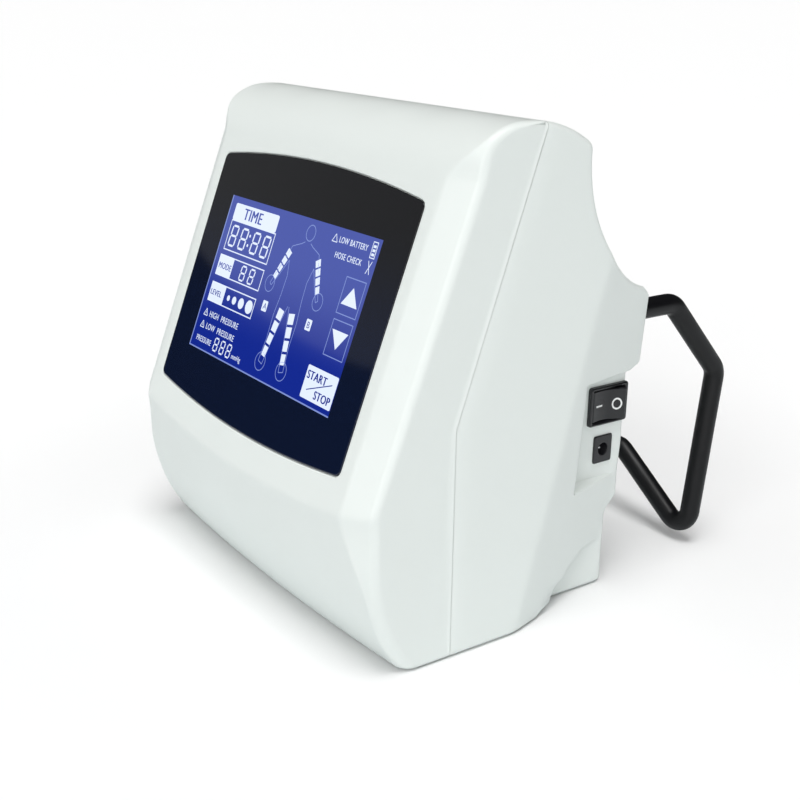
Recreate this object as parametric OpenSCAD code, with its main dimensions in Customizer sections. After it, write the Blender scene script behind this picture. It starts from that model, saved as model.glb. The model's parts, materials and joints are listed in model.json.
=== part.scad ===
// Tabletop compression therapy pump with a wide tilted touch display,
// a rocker switch and DC inlet in the right flank, two air outlets in the
// left flank and a tubular bed hook that swings at the back.
// X runs across the front, Y runs to the back, Z is up. The origin is on the
// table, at the centre of the whole pump's outline.

/* [Casing] */
// Width across the flanks
case_w = 230; // [200:1:270]
// Height of the top above the table
case_h = 244.4; // [236:0.1:270]
// Thickness of the moulded shells
wall = 2.8; // [2:0.1:3.4]
// Height of the shells' lower rim above the table
rim_z = 1; // [0.6:0.1:2]
// Lean of the front face, back from upright
face_tilt = 20.8; // [16:0.1:24]
// How far the chin crease stands ahead of the front foot line
chin_out = 21.5; // [16:0.1:26]
// Height of the chin crease
chin_z = 78.5; // [70:0.5:84]
// Radius of the front top edge
brow_r = 32.6; // [20:0.1:40]
// Radius of the crown that falls to the back
crown_r = 62; // [50:1:66]
// Fall of the crown below level, at the back
crown_fall = 30.8; // [22:0.1:36]
// Width of the bevel down each side of the face
bevel_w = 15.5; // [10:0.5:20]
// Depth of that bevel at the flank
bevel_deep = 7; // [3:0.1:9]

/* [Back of the casing] */
// Distance from the foot line to the upright neck
neck_y = 103.3; // [100:0.1:112]
// Radius of the hollow curve from neck to ledge
neck_r = 71.5; // [50:0.5:80]
// Fall of the ledge's top surface
ledge_fall = 19; // [12:0.5:24]
// Distance from the foot line to the ledge's nose
ledge_y = 160.5; // [158:0.5:164]
// Height of the ledge's underside
ledge_z = 118; // [117:0.5:122]
// Distance from the foot line to the back panel
back_y = 152; // [150:0.5:154]
// Height where the back panel steps in to the heel
step_z = 46; // [42:0.5:50]
// Distance from the foot line to the heel's back
heel_y = 144.5; // [142:0.5:148]
// How far the heel's sides stand in from the flanks
heel_in = 18; // [17.5:0.5:21]
// Where the flank crease meets the table
crease_y = 69.4; // [64:0.5:76]
// Backward lean of the flank crease
crease_lean = 15.3; // [10:0.1:18]
// Turn of the rear flank facet
flank_turn = 16.35; // [14:0.05:18]
// Distance from the foot line to the shells' joint, below its knee
joint_y = 31; // [26:0.5:36]
// Height of the joint's knee
joint_knee_z = 113.5; // [106:0.5:120]
// Lean of the joint above its knee
joint_lean = 19.2; // [15:0.1:21]
// Height of the lip that laps the joint inside
lip_h = 3; // [2:0.1:5]
// Thickness of that lip
lip_t = 1.2; // [0.8:0.1:1.6]

/* [Display] */
// Distance from each flank to the side of the touch glass
glass_in = 24; // [20:0.5:35]
// Height of the touch glass at its straight sides
glass_h = 124.5; // [110:0.5:130]
// Rise of the glass's arched top and bottom edges
glass_arch = 6.3; // [0:0.1:9]
// Thickness of the touch glass
glass_t = 2; // [1.5:0.1:3]
// Distance up the face from the chin crease to the glass's centre
glass_up = 78.7; // [76:0.1:82]
// Thickness of the gasket behind the glass
gasket_t = 0.5; // [0.3:0.1:0.8]
// Distance from each side of the glass to the lit picture
lcd_in = 21; // [18:0.5:31]
// Height of the lit picture
lcd_h = 83; // [70:1:88]
// Thickness of the liquid crystal cell
lcd_t = 2.5; // [2:0.1:4]
// Thickness of the backlight unit
backlight_t = 6; // [4:0.1:8]
// Thickness of a circuit board
board_t = 1.6; // [1:0.1:2]

/* [Power side] */
// Depth of a sunken side panel below its flank
panel_in = 17; // [16:0.5:17.5]
// Front edge of a side panel
panel_y = 110; // [106:0.5:114]
// Lower edge of a side panel
panel_z = 62; // [58:0.5:63]
// Height of a side panel at its front edge
panel_h = 57; // [54:0.5:57.5]
// Fall of a side panel's upper edge towards the back, degrees
panel_fall = 2.8; // [2.4:0.1:4]
// Length of the rocker switch's frame
switch_l = 25.4; // [24:0.1:26]
// Height of the rocker switch's frame
switch_h = 20.4; // [19:0.1:21]
// Distance from the foot line to the switch's centre
switch_y = 138; // [136:0.1:138.5]
// Height of the switch's centre
switch_z = 101; // [100:0.1:102]
// Tilt of the rocker to either side
rocker_tilt = 9; // [5:0.5:12]
// Length of the inlet's face
jack_l = 12.2; // [11:0.1:14]
// Height of the inlet's face
jack_h = 14.6; // [13:0.1:16]
// Distance from the foot line to the inlet's centre
jack_y = 136.8; // [134:0.1:139]
// Height of the inlet's centre
jack_z = 77.3; // [74:0.1:79]
// Radius of the inlet's hole
jack_bore_r = 3.2; // [2.8:0.1:3.6]
// Radius of the inlet's centre pin
jack_pin_r = 1; // [0.8:0.1:1.2]

/* [Air outlets] */
// Radius of each outlet's bore
outlet_r = 4; // [3:0.1:4.5]
// Height of the lower outlet's centre
outlet_z = 74; // [72:0.5:75]
// Distance between the outlets
outlet_gap = 25; // [23:0.5:26]
// Size of an outlet's square flange
outlet_flange = 20; // [18:0.5:21]
// Travel of an outlet's thumb latch
latch_travel = 1.2; // [0.8:0.1:1.4]

/* [Bed hook] */
// Radius of the hook's tube
hook_r = 5.4; // [4.5:0.1:6]
// How far the hook's arms stand in from the flanks
arm_in = 27; // [26:0.5:31]
// Distance from the foot line to the hook's pivot
pivot_y = 147; // [146:0.5:148]
// Height of the hook's pivot
pivot_z = 143.3; // [142:0.1:146]
// Distance from the foot line to the hook's first corner
shoulder_y = 190.5; // [184:0.5:200]
// Distance from the foot line to the hook's elbow
elbow_y = 229.2; // [220:0.5:240]
// Height of the hook's elbow
elbow_z = 100.9; // [90:0.5:110]
// Distance from the foot line to the hook's lower corner
toe_y = 218.2; // [210:0.5:228]
// Height of the hook's lower corner, where its centre lines meet
toe_z = 2.7; // [1:0.1:10]
// Rise of the lower cross bar from each corner, degrees
bar_rise = 31.8; // [20:0.1:36]
// Half length of the cross bar's level middle
bar_half = 30; // [20:0.5:40]
// Bend radius of the tube's centre line at the shoulder and elbow
bend_r = 10.5; // [9:0.5:14]
// Bend radius at the lower corners
toe_bend_r = 9; // [7.5:0.1:10]
// Radius of the pivot pins
pin_r = 2.5; // [2:0.1:3]

/* [Inside] */
// Thickness of the tray that carries the air pump
tray_t = 3; // [2:0.1:4]
// Radius of the pump's motor
motor_r = 18; // [14:0.5:20]
// Length that the motor leaves free between the valves and the battery
motor_room = 86; // [85:1:92]
// Radius of the pump's housing
pump_r = 22; // [20:0.5:24]
// Length of the pump's housing
pump_l = 30; // [26:0.5:34]
// Throw of the pump's crank pin
crank_throw = 2.5; // [1.5:0.1:3]
// Side of a solenoid valve's coil
valve_w = 18; // [16:0.5:19]
// Height of a solenoid valve's coil
valve_h = 26; // [24:0.5:30]
// Distance from valve to valve
valve_pitch = 22; // [21:0.5:23]
// Radius of a solenoid valve's plunger
plunger_r = 3; // [2.5:0.1:3.5]
// Travel of a plunger
plunger_travel = 1.2; // [0.8:0.1:1.6]
// Radius of a battery cell
cell_r = 9.2; // [8.5:0.1:9.5]
// Length of the battery pack
battery_l = 66; // [60:1:70]
// Outer radius of the air hoses inside
hose_r = 3; // [2.6:0.1:3.4]
// Bore radius of the air hoses inside
hose_bore_r = 1.6; // [1.3:0.1:1.8]

/* [Fits] */
// Gap round a fixed piece that drops into a pocket
seat_gap = 0.2; // [0.1:0.05:0.4]
// Gap between a pin and its bore
run_gap = 0.05; // [0.02:0.01:0.08]
// Gap beside a moving piece
side_gap = 0.4; // [0.3:0.05:0.6]

/* [Hidden] */
$fn = 48;

half_w = case_w / 2;
heel_half = half_w - heel_in;
panel_half = half_w - panel_in;
arm_half = half_w - arm_in;
glass_w = case_w - 2 * glass_in;
lcd_w = glass_w - 2 * lcd_in;
big = 400;
arc_step = 6;

// Colours
casing_colour = [0.90, 0.93, 0.92];
black_colour = [0.06, 0.06, 0.07];
board_colour = [0.05, 0.30, 0.18];
steel_colour = [0.72, 0.73, 0.75];
rubber_colour = [0.16, 0.16, 0.17];
hose_colour = [0.80, 0.82, 0.84];

// ---- Plane geometry ----

function unit(v) = v / norm(v);
function left_of(v) = [-v[1], v[0]];

// Corner b of a path, rounded with radius r, as points from a's side to c's.
function corner(a, b, c, r) =
    r == 0 ? [b] :
    let (u = unit(b - a), w = unit(c - b))
    let (turn = atan2(u[0] * w[1] - u[1] * w[0], u * w))
    let (reach = r * tan(abs(turn) / 2))
    let (side = turn > 0 ? 1 : -1)
    let (centre = b - u * reach + left_of(u) * r * side)
    let (steps = max(2, ceil(abs(turn) / (r < 10 ? 3 * arc_step : arc_step))))
    let (from = -left_of(u) * r * side)
    [for (i = [0:steps]) let (t = turn * i / steps)
        centre + [from[0] * cos(t) - from[1] * sin(t),
                  from[0] * sin(t) + from[1] * cos(t)]];

// A closed outline from corners given as [x, y, radius].
function rounded(p) =
    let (n = len(p))
    [for (i = [0:n - 1])
        let (a = p[(i + n - 1) % n], b = p[i], c = p[(i + 1) % n])
        each corner([a[0], a[1]], [b[0], b[1]], [c[0], c[1]], b[2])];

// Rounded corners of an anticlockwise outline, all moved inwards by d.
function moved_in(p, d) =
    let (n = len(p))
    [for (i = [0:n - 1])
        let (a = p[(i + n - 1) % n], b = p[i], c = p[(i + 1) % n])
        let (u = unit([b[0] - a[0], b[1] - a[1]]), w = unit([c[0] - b[0], c[1] - b[1]]))
        let (m = (left_of(u) + left_of(w)) * d / (1 + u * w))
        let (outside = u[0] * w[1] - u[1] * w[0] > 0)
        [b[0] + m[0], b[1] + m[1],
         b[2] == 0 ? 0 : outside ? max(b[2] - d, 0.4) : b[2] + d]];

// ---- Side profile of the casing ----

brow_z = case_h;
brow_y = -chin_out + (brow_z - chin_z) * tan(face_tilt);
crown_drop = 11.4;
crown_edge_y = neck_y - crown_drop / tan(crown_fall);
ledge_start_z = 177;
ledge_nose_z = ledge_start_z - (ledge_y - neck_y) * tan(ledge_fall);
// The crown and the neck's hollow take what the level top and the neck leave.
brow_reach = brow_r * tan(45 - face_tilt / 2);
crown_fit_r = min(crown_r, 0.96 * (crown_edge_y - brow_y - brow_reach) / tan(crown_fall / 2));
neck_corner_reach = 4;
neck_fit_r = min(neck_r,
    (brow_z - crown_drop - neck_corner_reach - ledge_start_z) / tan(45 - ledge_fall / 2));
heel_z = step_z - (back_y - heel_y);

// Corners as [y, z, radius], clockwise when seen from the right.
profile_corners = [
    [0, rim_z, 1.5],
    [heel_y, rim_z, 1.5],
    [heel_y, heel_z, 1.5],
    [back_y, step_z, 1.5],
    [back_y, ledge_z - 1, 0],
    [ledge_y, ledge_z, 3],
    [ledge_y, ledge_nose_z, 3],
    [neck_y, ledge_start_z, neck_fit_r],
    [neck_y, brow_z - crown_drop, 5.5],
    [crown_edge_y, brow_z, crown_fit_r],
    [brow_y, brow_z, brow_r],
    [-chin_out, chin_z, 4],
    [-chin_out * 0.88, chin_z * 0.66, 60],
    [-chin_out * 0.51, chin_z * 0.25, 40]
];
function profile_at(d) = rounded(moved_in(profile_corners, d));
profile = profile_at(0);

// The frame of the face: x across, y into the casing, z up the face.
glass_y = -chin_out + glass_up * sin(face_tilt);
glass_z = chin_z + glass_up * cos(face_tilt);

// Middle of the pump's outline, front crease to the hook's elbow.
front_y = min([for (p = profile) p[0]]);

// ---- The hook's path ----

arm_points = [[pivot_y, pivot_z], [shoulder_y, pivot_z], [elbow_y, elbow_z], [toe_y, toe_z]];
bar_z = toe_z + (arm_half - bar_half) * tan(bar_rise);
leg_lean = (elbow_y - toe_y) / (elbow_z - toe_z);
bar_y = toe_y + (bar_z - toe_z) * leg_lean;
hook_path = [
    [arm_half, pivot_y, pivot_z],
    [arm_half, shoulder_y, pivot_z],
    [arm_half, elbow_y, elbow_z],
    [arm_half, toe_y, toe_z],
    [bar_half, bar_y, bar_z],
    [-bar_half, bar_y, bar_z],
    [-arm_half, toe_y, toe_z],
    [-arm_half, elbow_y, elbow_z],
    [-arm_half, shoulder_y, pivot_z],
    [-arm_half, pivot_y, pivot_z]
];
hook_bends = [0, bend_r, bend_r, toe_bend_r, bend_r, bend_r, toe_bend_r, bend_r, bend_r, 0];

// Rearmost point of the elbow's bend.
slope_dir = unit([elbow_y - shoulder_y, elbow_z - pivot_z]);
leg_dir = unit([toe_y - elbow_y, toe_z - elbow_z]);
elbow_turn = acos(slope_dir * leg_dir);
elbow_centre = [elbow_y, elbow_z] - slope_dir * bend_r * tan(elbow_turn / 2)
    - left_of(slope_dir) * bend_r;
back_end_y = elbow_centre[0] + bend_r + hook_r;
mid_y = (front_y + back_end_y) / 2;

// ---- Derived places ----

inner_z = rim_z + wall;
tray_half = heel_half - wall - 2;
tray_front = 6;
tray_back = heel_y - wall - 1.7;
tray_top = inner_z + tray_t;
window_inset = 12;

pocket_deep = glass_t + gasket_t;
pad_t = 2.5;
pad_back = wall + pad_t;
window_w = lcd_w + 6;
window_h = lcd_h + 6;
cell_w = lcd_w + 3;
cell_h = lcd_h + 3;
cell_front = pocket_deep + 0.3;
backlight_w = lcd_w + 14;
backlight_h = lcd_h + 14;
display_w = glass_w - 6;
display_h = glass_h - 14;
post_r = 3.5;
post_x = display_w / 2 - 4;
post_z = display_h / 2 - 4;
display_depth = pad_back + backlight_t + 2;
// The flat cable's width, its plug's height on a board and how far below the
// middle of the display board it starts.
cable_w = 20;
plug_t = 5;
cable_down = 30;

pocket_half = hook_r + 1;
pocket_front = pivot_y - hook_r - 1.3;
pocket_floor = pivot_z - hook_r - 0.3;
pin_in = arm_half - pocket_half - 4;
pin_out = arm_half + pocket_half + 5;

switch_body_l = switch_l - 3.4;
switch_body_h = switch_h - 2.4;
switch_deep = 20;
flange_t = 2;
rocker_r = 15;

jack_body_l = jack_l - 1;
jack_body_h = jack_h - 1;
jack_deep = 12;

battery_x = tray_half - 26.2;
manifold_x = 22.2 - tray_half;
motor_l = battery_x - manifold_x - motor_room;
pump_x = battery_x - 70;
pump_y = 55;
grommet_h = 7;
bracket_t = 2;
pump_z = tray_top + grommet_h + bracket_t + pump_r + 1;
grommet_x = [pump_x - motor_l + 8, pump_x + 30];
grommet_y = [pump_y - 16, pump_y + 16];

manifold_w = 26;
manifold_h = 14;
manifold_y = 20;
manifold_l = 4 * valve_pitch + 4;
valve_base_z = tray_top + manifold_h;
function valve_y(i) = manifold_y + 2 + valve_pitch * (i - 0.5);

battery_y = 22;

board_y = neck_y - 8.5;
board_w = 2 * heel_half - 44;
board_top = case_h - 19.6;
board_h = 62;
board_mid = board_top - board_h / 2;
board_post_x = board_w / 2 - 7;
board_post_z = board_h / 2 - 6;
board_posts = [for (x = [-board_post_x, board_post_x], z = [board_mid - board_post_z,
               board_mid + board_post_z]) [x, z]];
case_screw_x = half_w - 27;
case_screw_z = glass_z + post_z * cos(face_tilt) + 6;
case_screw_join = joint_y + (case_screw_z - joint_knee_z) * tan(joint_lean);
case_screw_front = glass_y + (case_screw_z - glass_z) * tan(face_tilt) + 1.5;
// Where the outside of the neck, or of the hollow below it, stands at height z.
neck_top_z = ledge_start_z + neck_fit_r * tan(45 - ledge_fall / 2);
function neck_face(z) =
    let (drop = neck_top_z - z)
    drop < 0 ? neck_y :
    drop > neck_fit_r ? ledge_y :
    min(ledge_y, neck_y + neck_fit_r - sqrt(pow(neck_fit_r, 2) - drop * drop));
// Where a post of radius r at height z ends, inside the wall that it meets.
function post_end(z, r) = neck_face(z + r) - 0.9;
board_post_r = 3.5;
case_tube_r = 5;

function mirrored(p) = [for (s = [-1, 1], q = p) [s * q[0], q[1]]];
foot_y = [15, heel_y - 10.5];
foot_places = mirrored([[heel_half + 3, foot_y[0]], [heel_half - 11, foot_y[1]]]);
foot_r = 7;
base_screw_places = mirrored([[heel_half - 13, 13], [heel_half - 9, 75], [36, foot_y[1]]]);

// ---- Shape helpers ----

module at_case() {
    translate([0, -mid_y, 0]) children();
}

// A Y-Z outline run along X, centred.
module across(width, outline) {
    rotate([90, 0, 90]) linear_extrude(width, center = true) polygon(outline);
}

module at_face() {
    translate([0, glass_y, glass_z]) rotate([-face_tilt, 0, 0]) children();
}

// A box in the face's frame, from depth d0 to depth d1.
module face_box(w, h, d0, d1) {
    translate([-w / 2, d0, -h / 2]) cube([w, d1 - d0, h]);
}

module along_x(r, x0, x1) {
    translate([x0, 0, 0]) rotate([0, 90, 0]) cylinder(r = r, h = x1 - x0);
}

module along_y(r, y0, y1) {
    translate([0, y0, 0]) rotate([-90, 0, 0]) cylinder(r = r, h = y1 - y0);
}

module both_sides() {
    children();
    mirror([1, 0, 0]) children();
}

// The rotation that turns +Z to direction d and +X towards direction e.
module aim(p, d, e) {
    w = unit(d);
    u = unit(e - w * (e * w));
    v = cross(w, u);
    multmatrix([[u[0], v[0], w[0], p[0]], [u[1], v[1], w[1], p[1]],
                [u[2], v[2], w[2], p[2]], [0, 0, 0, 1]]) children();
}

// Half angle of a path's turn at point i.
function half_turn(p, i) = acos(unit(p[i] - p[i - 1]) * unit(p[i + 1] - p[i])) / 2;
// Length that the bend at point i takes from each straight.
function bend_reach(p, b, i) =
    (i == 0 || i == len(p) - 1) ? 0 : b[i] * tan(half_turn(p, i));

// How far each straight of a rod runs into the bends beside it.
nest = 0.15;

// A round rod along path p, with bend radius b[i] at point i.
module bent_rod(p, b, r) {
    last = len(p) - 1;
    for (i = [0:last - 1]) {
        d = unit(p[i + 1] - p[i]);
        start = p[i] + d * bend_reach(p, b, i);
        stop = p[i + 1] - d * bend_reach(p, b, i + 1);
        before = i == 0 ? 0 : nest;
        after = i == last - 1 ? 0 : nest;
        aim(start - d * before, d, abs(d[2]) > 0.9 ? [1, 0, 0] : [0, 0, 1])
            cylinder(r = r - 0.04, h = norm(stop - start) + before + after);
    }
    for (i = [1:last - 1]) {
        u = unit(p[i] - p[i - 1]);
        w = unit(p[i + 1] - p[i]);
        inward = unit(w - u);
        turn = 2 * half_turn(p, i);
        centre = p[i] + inward * b[i] / cos(turn / 2);
        axis = unit(cross(u, w));
        start = p[i] - u * bend_reach(p, b, i);
        aim(centre, axis, start - centre)
            rotate_extrude(angle = turn) translate([b[i], 0]) circle(r = r);
    }
}

// ---- The casing ----

// Outward side of the plane that bevels one side of the face.
module face_bevel(d) {
    at_face() translate([half_w - bevel_w, 0, 0])
        rotate([0, 0, atan(bevel_deep / bevel_w)])
            translate([-bevel_w, d - big, -big]) cube([big, big, 2 * big]);
}

// The same bevel down the chin, square to the chin's lean.
module chin_bevel(d) {
    lean = atan(chin_out / (chin_z - rim_z));
    bulge = 3;
    translate([half_w - bevel_w, 0, rim_z]) rotate([lean, 0, 0])
        translate([0, -bulge, 0]) rotate([0, 0, atan((bevel_deep + 1) / bevel_w)])
            translate([-bevel_w, d - big, -big]) cube([big, big, 2 * big]);
}

// Outward side of the rear flank facet, which leans with its crease.
module flank_facet(d) {
    translate([half_w, crease_y, 0]) rotate([-crease_lean, 0, 0])
        rotate([0, 0, flank_turn])
            translate([-d, -big, -big]) cube([big, 2 * big, 2 * big]);
}

// Undercut that draws the lower rear corner in to the heel.
module corner_undercut(d) {
    inward = unit([1, 0.7, -0.73]);
    aim([heel_half + 0.6, crease_y + 34.6, rim_z], inward, [0, 0, 1])
        translate([-big, -big, -d]) cube([2 * big, 2 * big, big]);
}

module heel(d) {
    across(2 * (heel_half - d), [
        [crease_y + 24, rim_z + d], [heel_y - d, rim_z + d],
        [heel_y - d, heel_z - 1], [crease_y + 24, heel_z - 1]]);
}

// Space sunk in a flank for its side panel.
module panel_sink(d) {
    top = panel_z + panel_h + d;
    translate([panel_half - d, 0, 0]) rotate([90, 0, 90]) linear_extrude(big) polygon([
        [panel_y - d, panel_z - d], [panel_y + big, panel_z - d],
        [panel_y + big, top - big * tan(panel_fall)], [panel_y - d, top]]);
}

// Slot in the ledge in which one arm of the hook swings.
module hook_slot(d) {
    translate([arm_half - pocket_half - d, pocket_front - d, pocket_floor - d])
        cube([2 * (pocket_half + d), big, big]);
}

// Outline of everything ahead of the joint, moved back by s.
function ahead(s) = [
    [-big, -big], [joint_y + s, -big], [joint_y + s, joint_knee_z],
    [joint_y + s + 200 * tan(joint_lean), joint_knee_z + 200],
    [-big, joint_knee_z + 200]];

module ahead_of_joint(s) {
    across(2 * big, ahead(s));
}

// The casing ahead of the joint, moved inwards by d and run s past the joint.
module front_form(d, s) {
    difference() {
        rotate([90, 0, 90]) linear_extrude(case_w - 2 * d, center = true) intersection() {
            polygon(profile_at(d));
            polygon(ahead(s));
        }
        both_sides() {
            face_bevel(d);
            chin_bevel(d);
        }
    }
}

// The casing behind the joint, moved inwards by d and run s past the joint.
module rear_form(d, s) {
    difference() {
        union() {
            difference() {
                rotate([90, 0, 90]) linear_extrude(case_w - 2 * d, center = true) difference() {
                    polygon(profile_at(d));
                    polygon(ahead(-s));
                }
                both_sides() {
                    flank_facet(d);
                    corner_undercut(d);
                }
            }
            heel(d);
        }
        both_sides() {
            panel_sink(d);
            hook_slot(d);
        }
    }
}

module base_window() {
    translate([-tray_half + window_inset, tray_front + window_inset, -1])
        cube([2 * (tray_half - window_inset), tray_back - tray_front - 2 * window_inset, wall + 2.5]);
}

module base_screw_holes(r) {
    for (p = base_screw_places) translate([p[0], p[1], -1]) cylinder(r = r, h = wall + 4);
}

module foot_seats() {
    for (p = foot_places)
        translate([p[0], p[1], -1]) cylinder(r = foot_r + seat_gap, h = rim_z + 2);
}

// Barrel outline of the glass, grown by g.
function glass_outline(g) =
    let (w = glass_w / 2 + g, h = glass_h / 2 + g)
    let (r = (w * w + glass_arch * glass_arch) / (2 * max(glass_arch, 0.01)))
    let (spread = asin(w / r))
    concat(
        [for (i = [0:10]) let (a = spread - 2 * spread * i / 10)
            [r * sin(a), h + glass_arch - r + r * cos(a)]],
        [for (i = [0:10]) let (a = -spread + 2 * spread * i / 10)
            [r * sin(a), -h - glass_arch + r - r * cos(a)]]);

module glass_plate(g, d0, d1) {
    translate([0, d1, 0]) rotate([90, 0, 0]) linear_extrude(d1 - d0) polygon(glass_outline(g));
}

module display_posts(r, d0, d1) {
    for (x = [-post_x, post_x], z = [-post_z, post_z])
        translate([x, 0, z]) along_y(r, d0, d1);
}

module front_shell() {
    color(casing_colour) at_case() difference() {
        union() {
            difference() {
                front_form(0, 0);
                front_form(wall, 2);
            }
            at_face() {
                glass_plate(3, wall - 0.5, pad_back);
                display_posts(post_r, pad_back - 0.5, display_depth);
            }
            for (x = [-case_screw_x, case_screw_x])
                translate([x, 0, case_screw_z])
                    along_y(4.5, case_screw_front, case_screw_join);
        }
        at_face() {
            glass_plate(seat_gap, -5, pocket_deep);
            face_box(window_w, window_h, -5, pad_back + 1);
            display_posts(1.2, pad_back + 1, display_depth + 1);
        }
        for (x = [-case_screw_x, case_screw_x])
            translate([x, 0, case_screw_z]) along_y(1.5, case_screw_join - 14, case_screw_join + 1);
        base_window();
        base_screw_holes(2.1);
        foot_seats();
    }
}

// A hoop of wall between depths d0 and d1, from s0 to s1 past the joint,
// over the height low.
module hoop(d0, d1, s0, s1, low) {
    difference() {
        rotate([90, 0, 90]) linear_extrude(case_w - 2 * d0, center = true) difference() {
            intersection() {
                polygon(profile_at(d0));
                polygon(ahead(s1));
            }
            polygon(ahead(s0));
            polygon([[-big, -big], [big, -big], [big, low], [-big, low]]);
        }
        across(case_w - 2 * d1, profile_at(d1));
    }
}

// Tongue that laps the joint inside, round the top and both flanks.
module joint_lip() {
    hoop(wall + run_gap, wall + lip_t, -lip_h, 1.2, 30);
    hoop(wall - 0.6, wall + lip_t - 0.25, 0.6, 2, 33);
}

module vent_slots() {
    for (i = [-5:5])
        translate([i * 9 - 1.5, back_y - wall - 2, 66]) cube([3, wall + 4, 38]);
}

module rear_shell() {
    color(casing_colour) at_case() difference() {
        union() {
            difference() {
                rear_form(0, 0);
                rear_form(wall, 2);
            }
            joint_lip();
            for (p = board_posts)
                translate([p[0], 0, p[1]])
                    along_y(board_post_r, board_y + board_t, post_end(p[1], board_post_r));
            for (x = [-case_screw_x, case_screw_x])
                translate([x, 0, case_screw_z])
                    along_y(case_tube_r, case_screw_join, post_end(case_screw_z, case_tube_r));
            both_sides() translate([arm_half, pivot_y, pivot_z]) {
                along_x(6, pin_in - arm_half, -pocket_half - 1);
                along_x(6, pocket_half + 1, pin_out - arm_half + 1);
            }
        }
        both_sides() translate([0, pivot_y, pivot_z]) along_x(pin_r, pin_in - 1, pin_out);
        for (p = board_posts)
            translate([p[0], 0, p[1]]) along_y(1.2, board_y - 1, board_y + board_t + 2.8);
        for (x = [-case_screw_x, case_screw_x])
            translate([x, 0, case_screw_z]) {
                along_y(1.8, case_screw_join - 1, neck_y + 20);
                along_y(3.4, neck_y - 6, neck_y + 20);
            }
        translate([panel_half - wall - 1, switch_y - switch_body_l / 2 - seat_gap,
                   switch_z - switch_body_h / 2 - seat_gap])
            cube([wall + 2, switch_body_l + 2 * seat_gap, switch_body_h + 2 * seat_gap]);
        translate([panel_half - wall - 1, jack_y - jack_body_l / 2 - seat_gap,
                   jack_z - jack_body_h / 2 - seat_gap])
            cube([wall + 2, jack_body_l + 2 * seat_gap, jack_body_h + 2 * seat_gap]);
        for (z = [outlet_z, outlet_z + outlet_gap])
            translate([0, switch_y, z])
                along_x(7 + seat_gap, -panel_half - 1, -panel_half + wall + 1);
        vent_slots();
        base_window();
        base_screw_holes(2.1);
        foot_seats();
    }
}

// ---- Base ----

module base_tray() {
    color(casing_colour) at_case() difference() {
        union() {
            translate([-tray_half, tray_front, inner_z])
                cube([2 * tray_half, tray_back - tray_front, tray_t]);
            for (p = base_screw_places)
                translate([p[0], p[1], tray_top - 1]) cylinder(r = 4, h = 7);
        }
        for (p = base_screw_places)
            translate([p[0], p[1], inner_z - 1]) cylinder(r = 1.5, h = tray_t + 6);
        for (x = grommet_x, y = grommet_y)
            translate([x, y, inner_z - 1]) cylinder(r = 2, h = tray_t + 2);
        for (i = [-4:4])
            translate([i * 12 - 2, 96, inner_z - 1]) cube([4, 24, tray_t + 2]);
    }
}

module base_screws() {
    color(steel_colour) at_case() for (p = base_screw_places)
        translate([p[0], p[1], 0]) {
            translate([0, 0, rim_z]) cylinder(r = 1.5 - run_gap, h = wall + tray_t + 4);
            difference() {
                translate([0, 0, rim_z - 0.8]) cylinder(r = 2, h = 2);
                cube([0.8, 2.4, 2 * rim_z], center = true);
                cube([2.4, 0.8, 2 * rim_z], center = true);
            }
        }
}

module rubber_feet() {
    color(rubber_colour) at_case() for (p = foot_places)
        translate([p[0], p[1], 0]) cylinder(r1 = foot_r - 0.8, r2 = foot_r, h = rim_z + 1);
}

// ---- Display ----

module touch_glass() {
    color(black_colour) at_case() at_face() glass_plate(0, 0, glass_t);
}

module glass_gasket() {
    color(rubber_colour) at_case() at_face() difference() {
        glass_plate(-1, glass_t, pocket_deep);
        face_box(window_w, window_h, 0, pocket_deep + 1);
    }
}

module lcd_panel() {
    color([0.20, 0.28, 0.62]) at_case() at_face()
        face_box(cell_w, cell_h, cell_front, cell_front + lcd_t);
}

module backlight_unit() {
    color(steel_colour) at_case() at_face() {
        face_box(backlight_w, backlight_h, pad_back, pad_back + backlight_t);
        if (cell_front + lcd_t < pad_back)
            face_box(cell_w, cell_h, cell_front + lcd_t, pad_back + 1);
    }
}

module display_board() {
    color(board_colour) at_case() at_face() difference() {
        union() {
            face_box(display_w, display_h, display_depth, display_depth + board_t);
            face_box(display_w / 2, 12, pad_back + backlight_t, display_depth + 0.5);
            translate([0, 0, -cable_down])
                face_box(cable_w + 10, 8, display_depth + 0.5, display_depth + board_t + plug_t);
        }
        display_posts(1.6, display_depth - 3, display_depth + board_t + 1);
    }
}

module display_screws() {
    back = display_depth + board_t;
    color(steel_colour) at_case() at_face() {
        display_posts(1.2 - run_gap, pad_back + 1.2, back + 0.5);
        display_posts(2.8, back, back + 1.8);
    }
}

// ---- Power side ----

module at_switch() {
    translate([panel_half, switch_y, switch_z]) children();
}

module switch_housing() {
    rocker_l = switch_l - 5;
    rocker_h = switch_h - 4.4;
    color(black_colour) at_case() at_switch() difference() {
        union() {
            translate([0, -switch_l / 2, -switch_h / 2]) cube([flange_t, switch_l, switch_h]);
            translate([-switch_deep, -switch_body_l / 2, -switch_body_h / 2])
                cube([switch_deep + 0.5, switch_body_l, switch_body_h]);
        }
        translate([-12, -rocker_l / 2 - 0.4, -rocker_h / 2 - 0.4])
            cube([20, rocker_l + 0.8, rocker_h + 0.8]);
        translate([-4, 0, -rocker_h / 2 - 1.6]) cylinder(r = 1.5 + run_gap, h = rocker_h + 3.2);
        for (y = [-7, 0, 7])
            translate([-switch_deep - 1, y - 0.6, -3.2]) cube([4, 1.2, 6.4]);
    }
}

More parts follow.
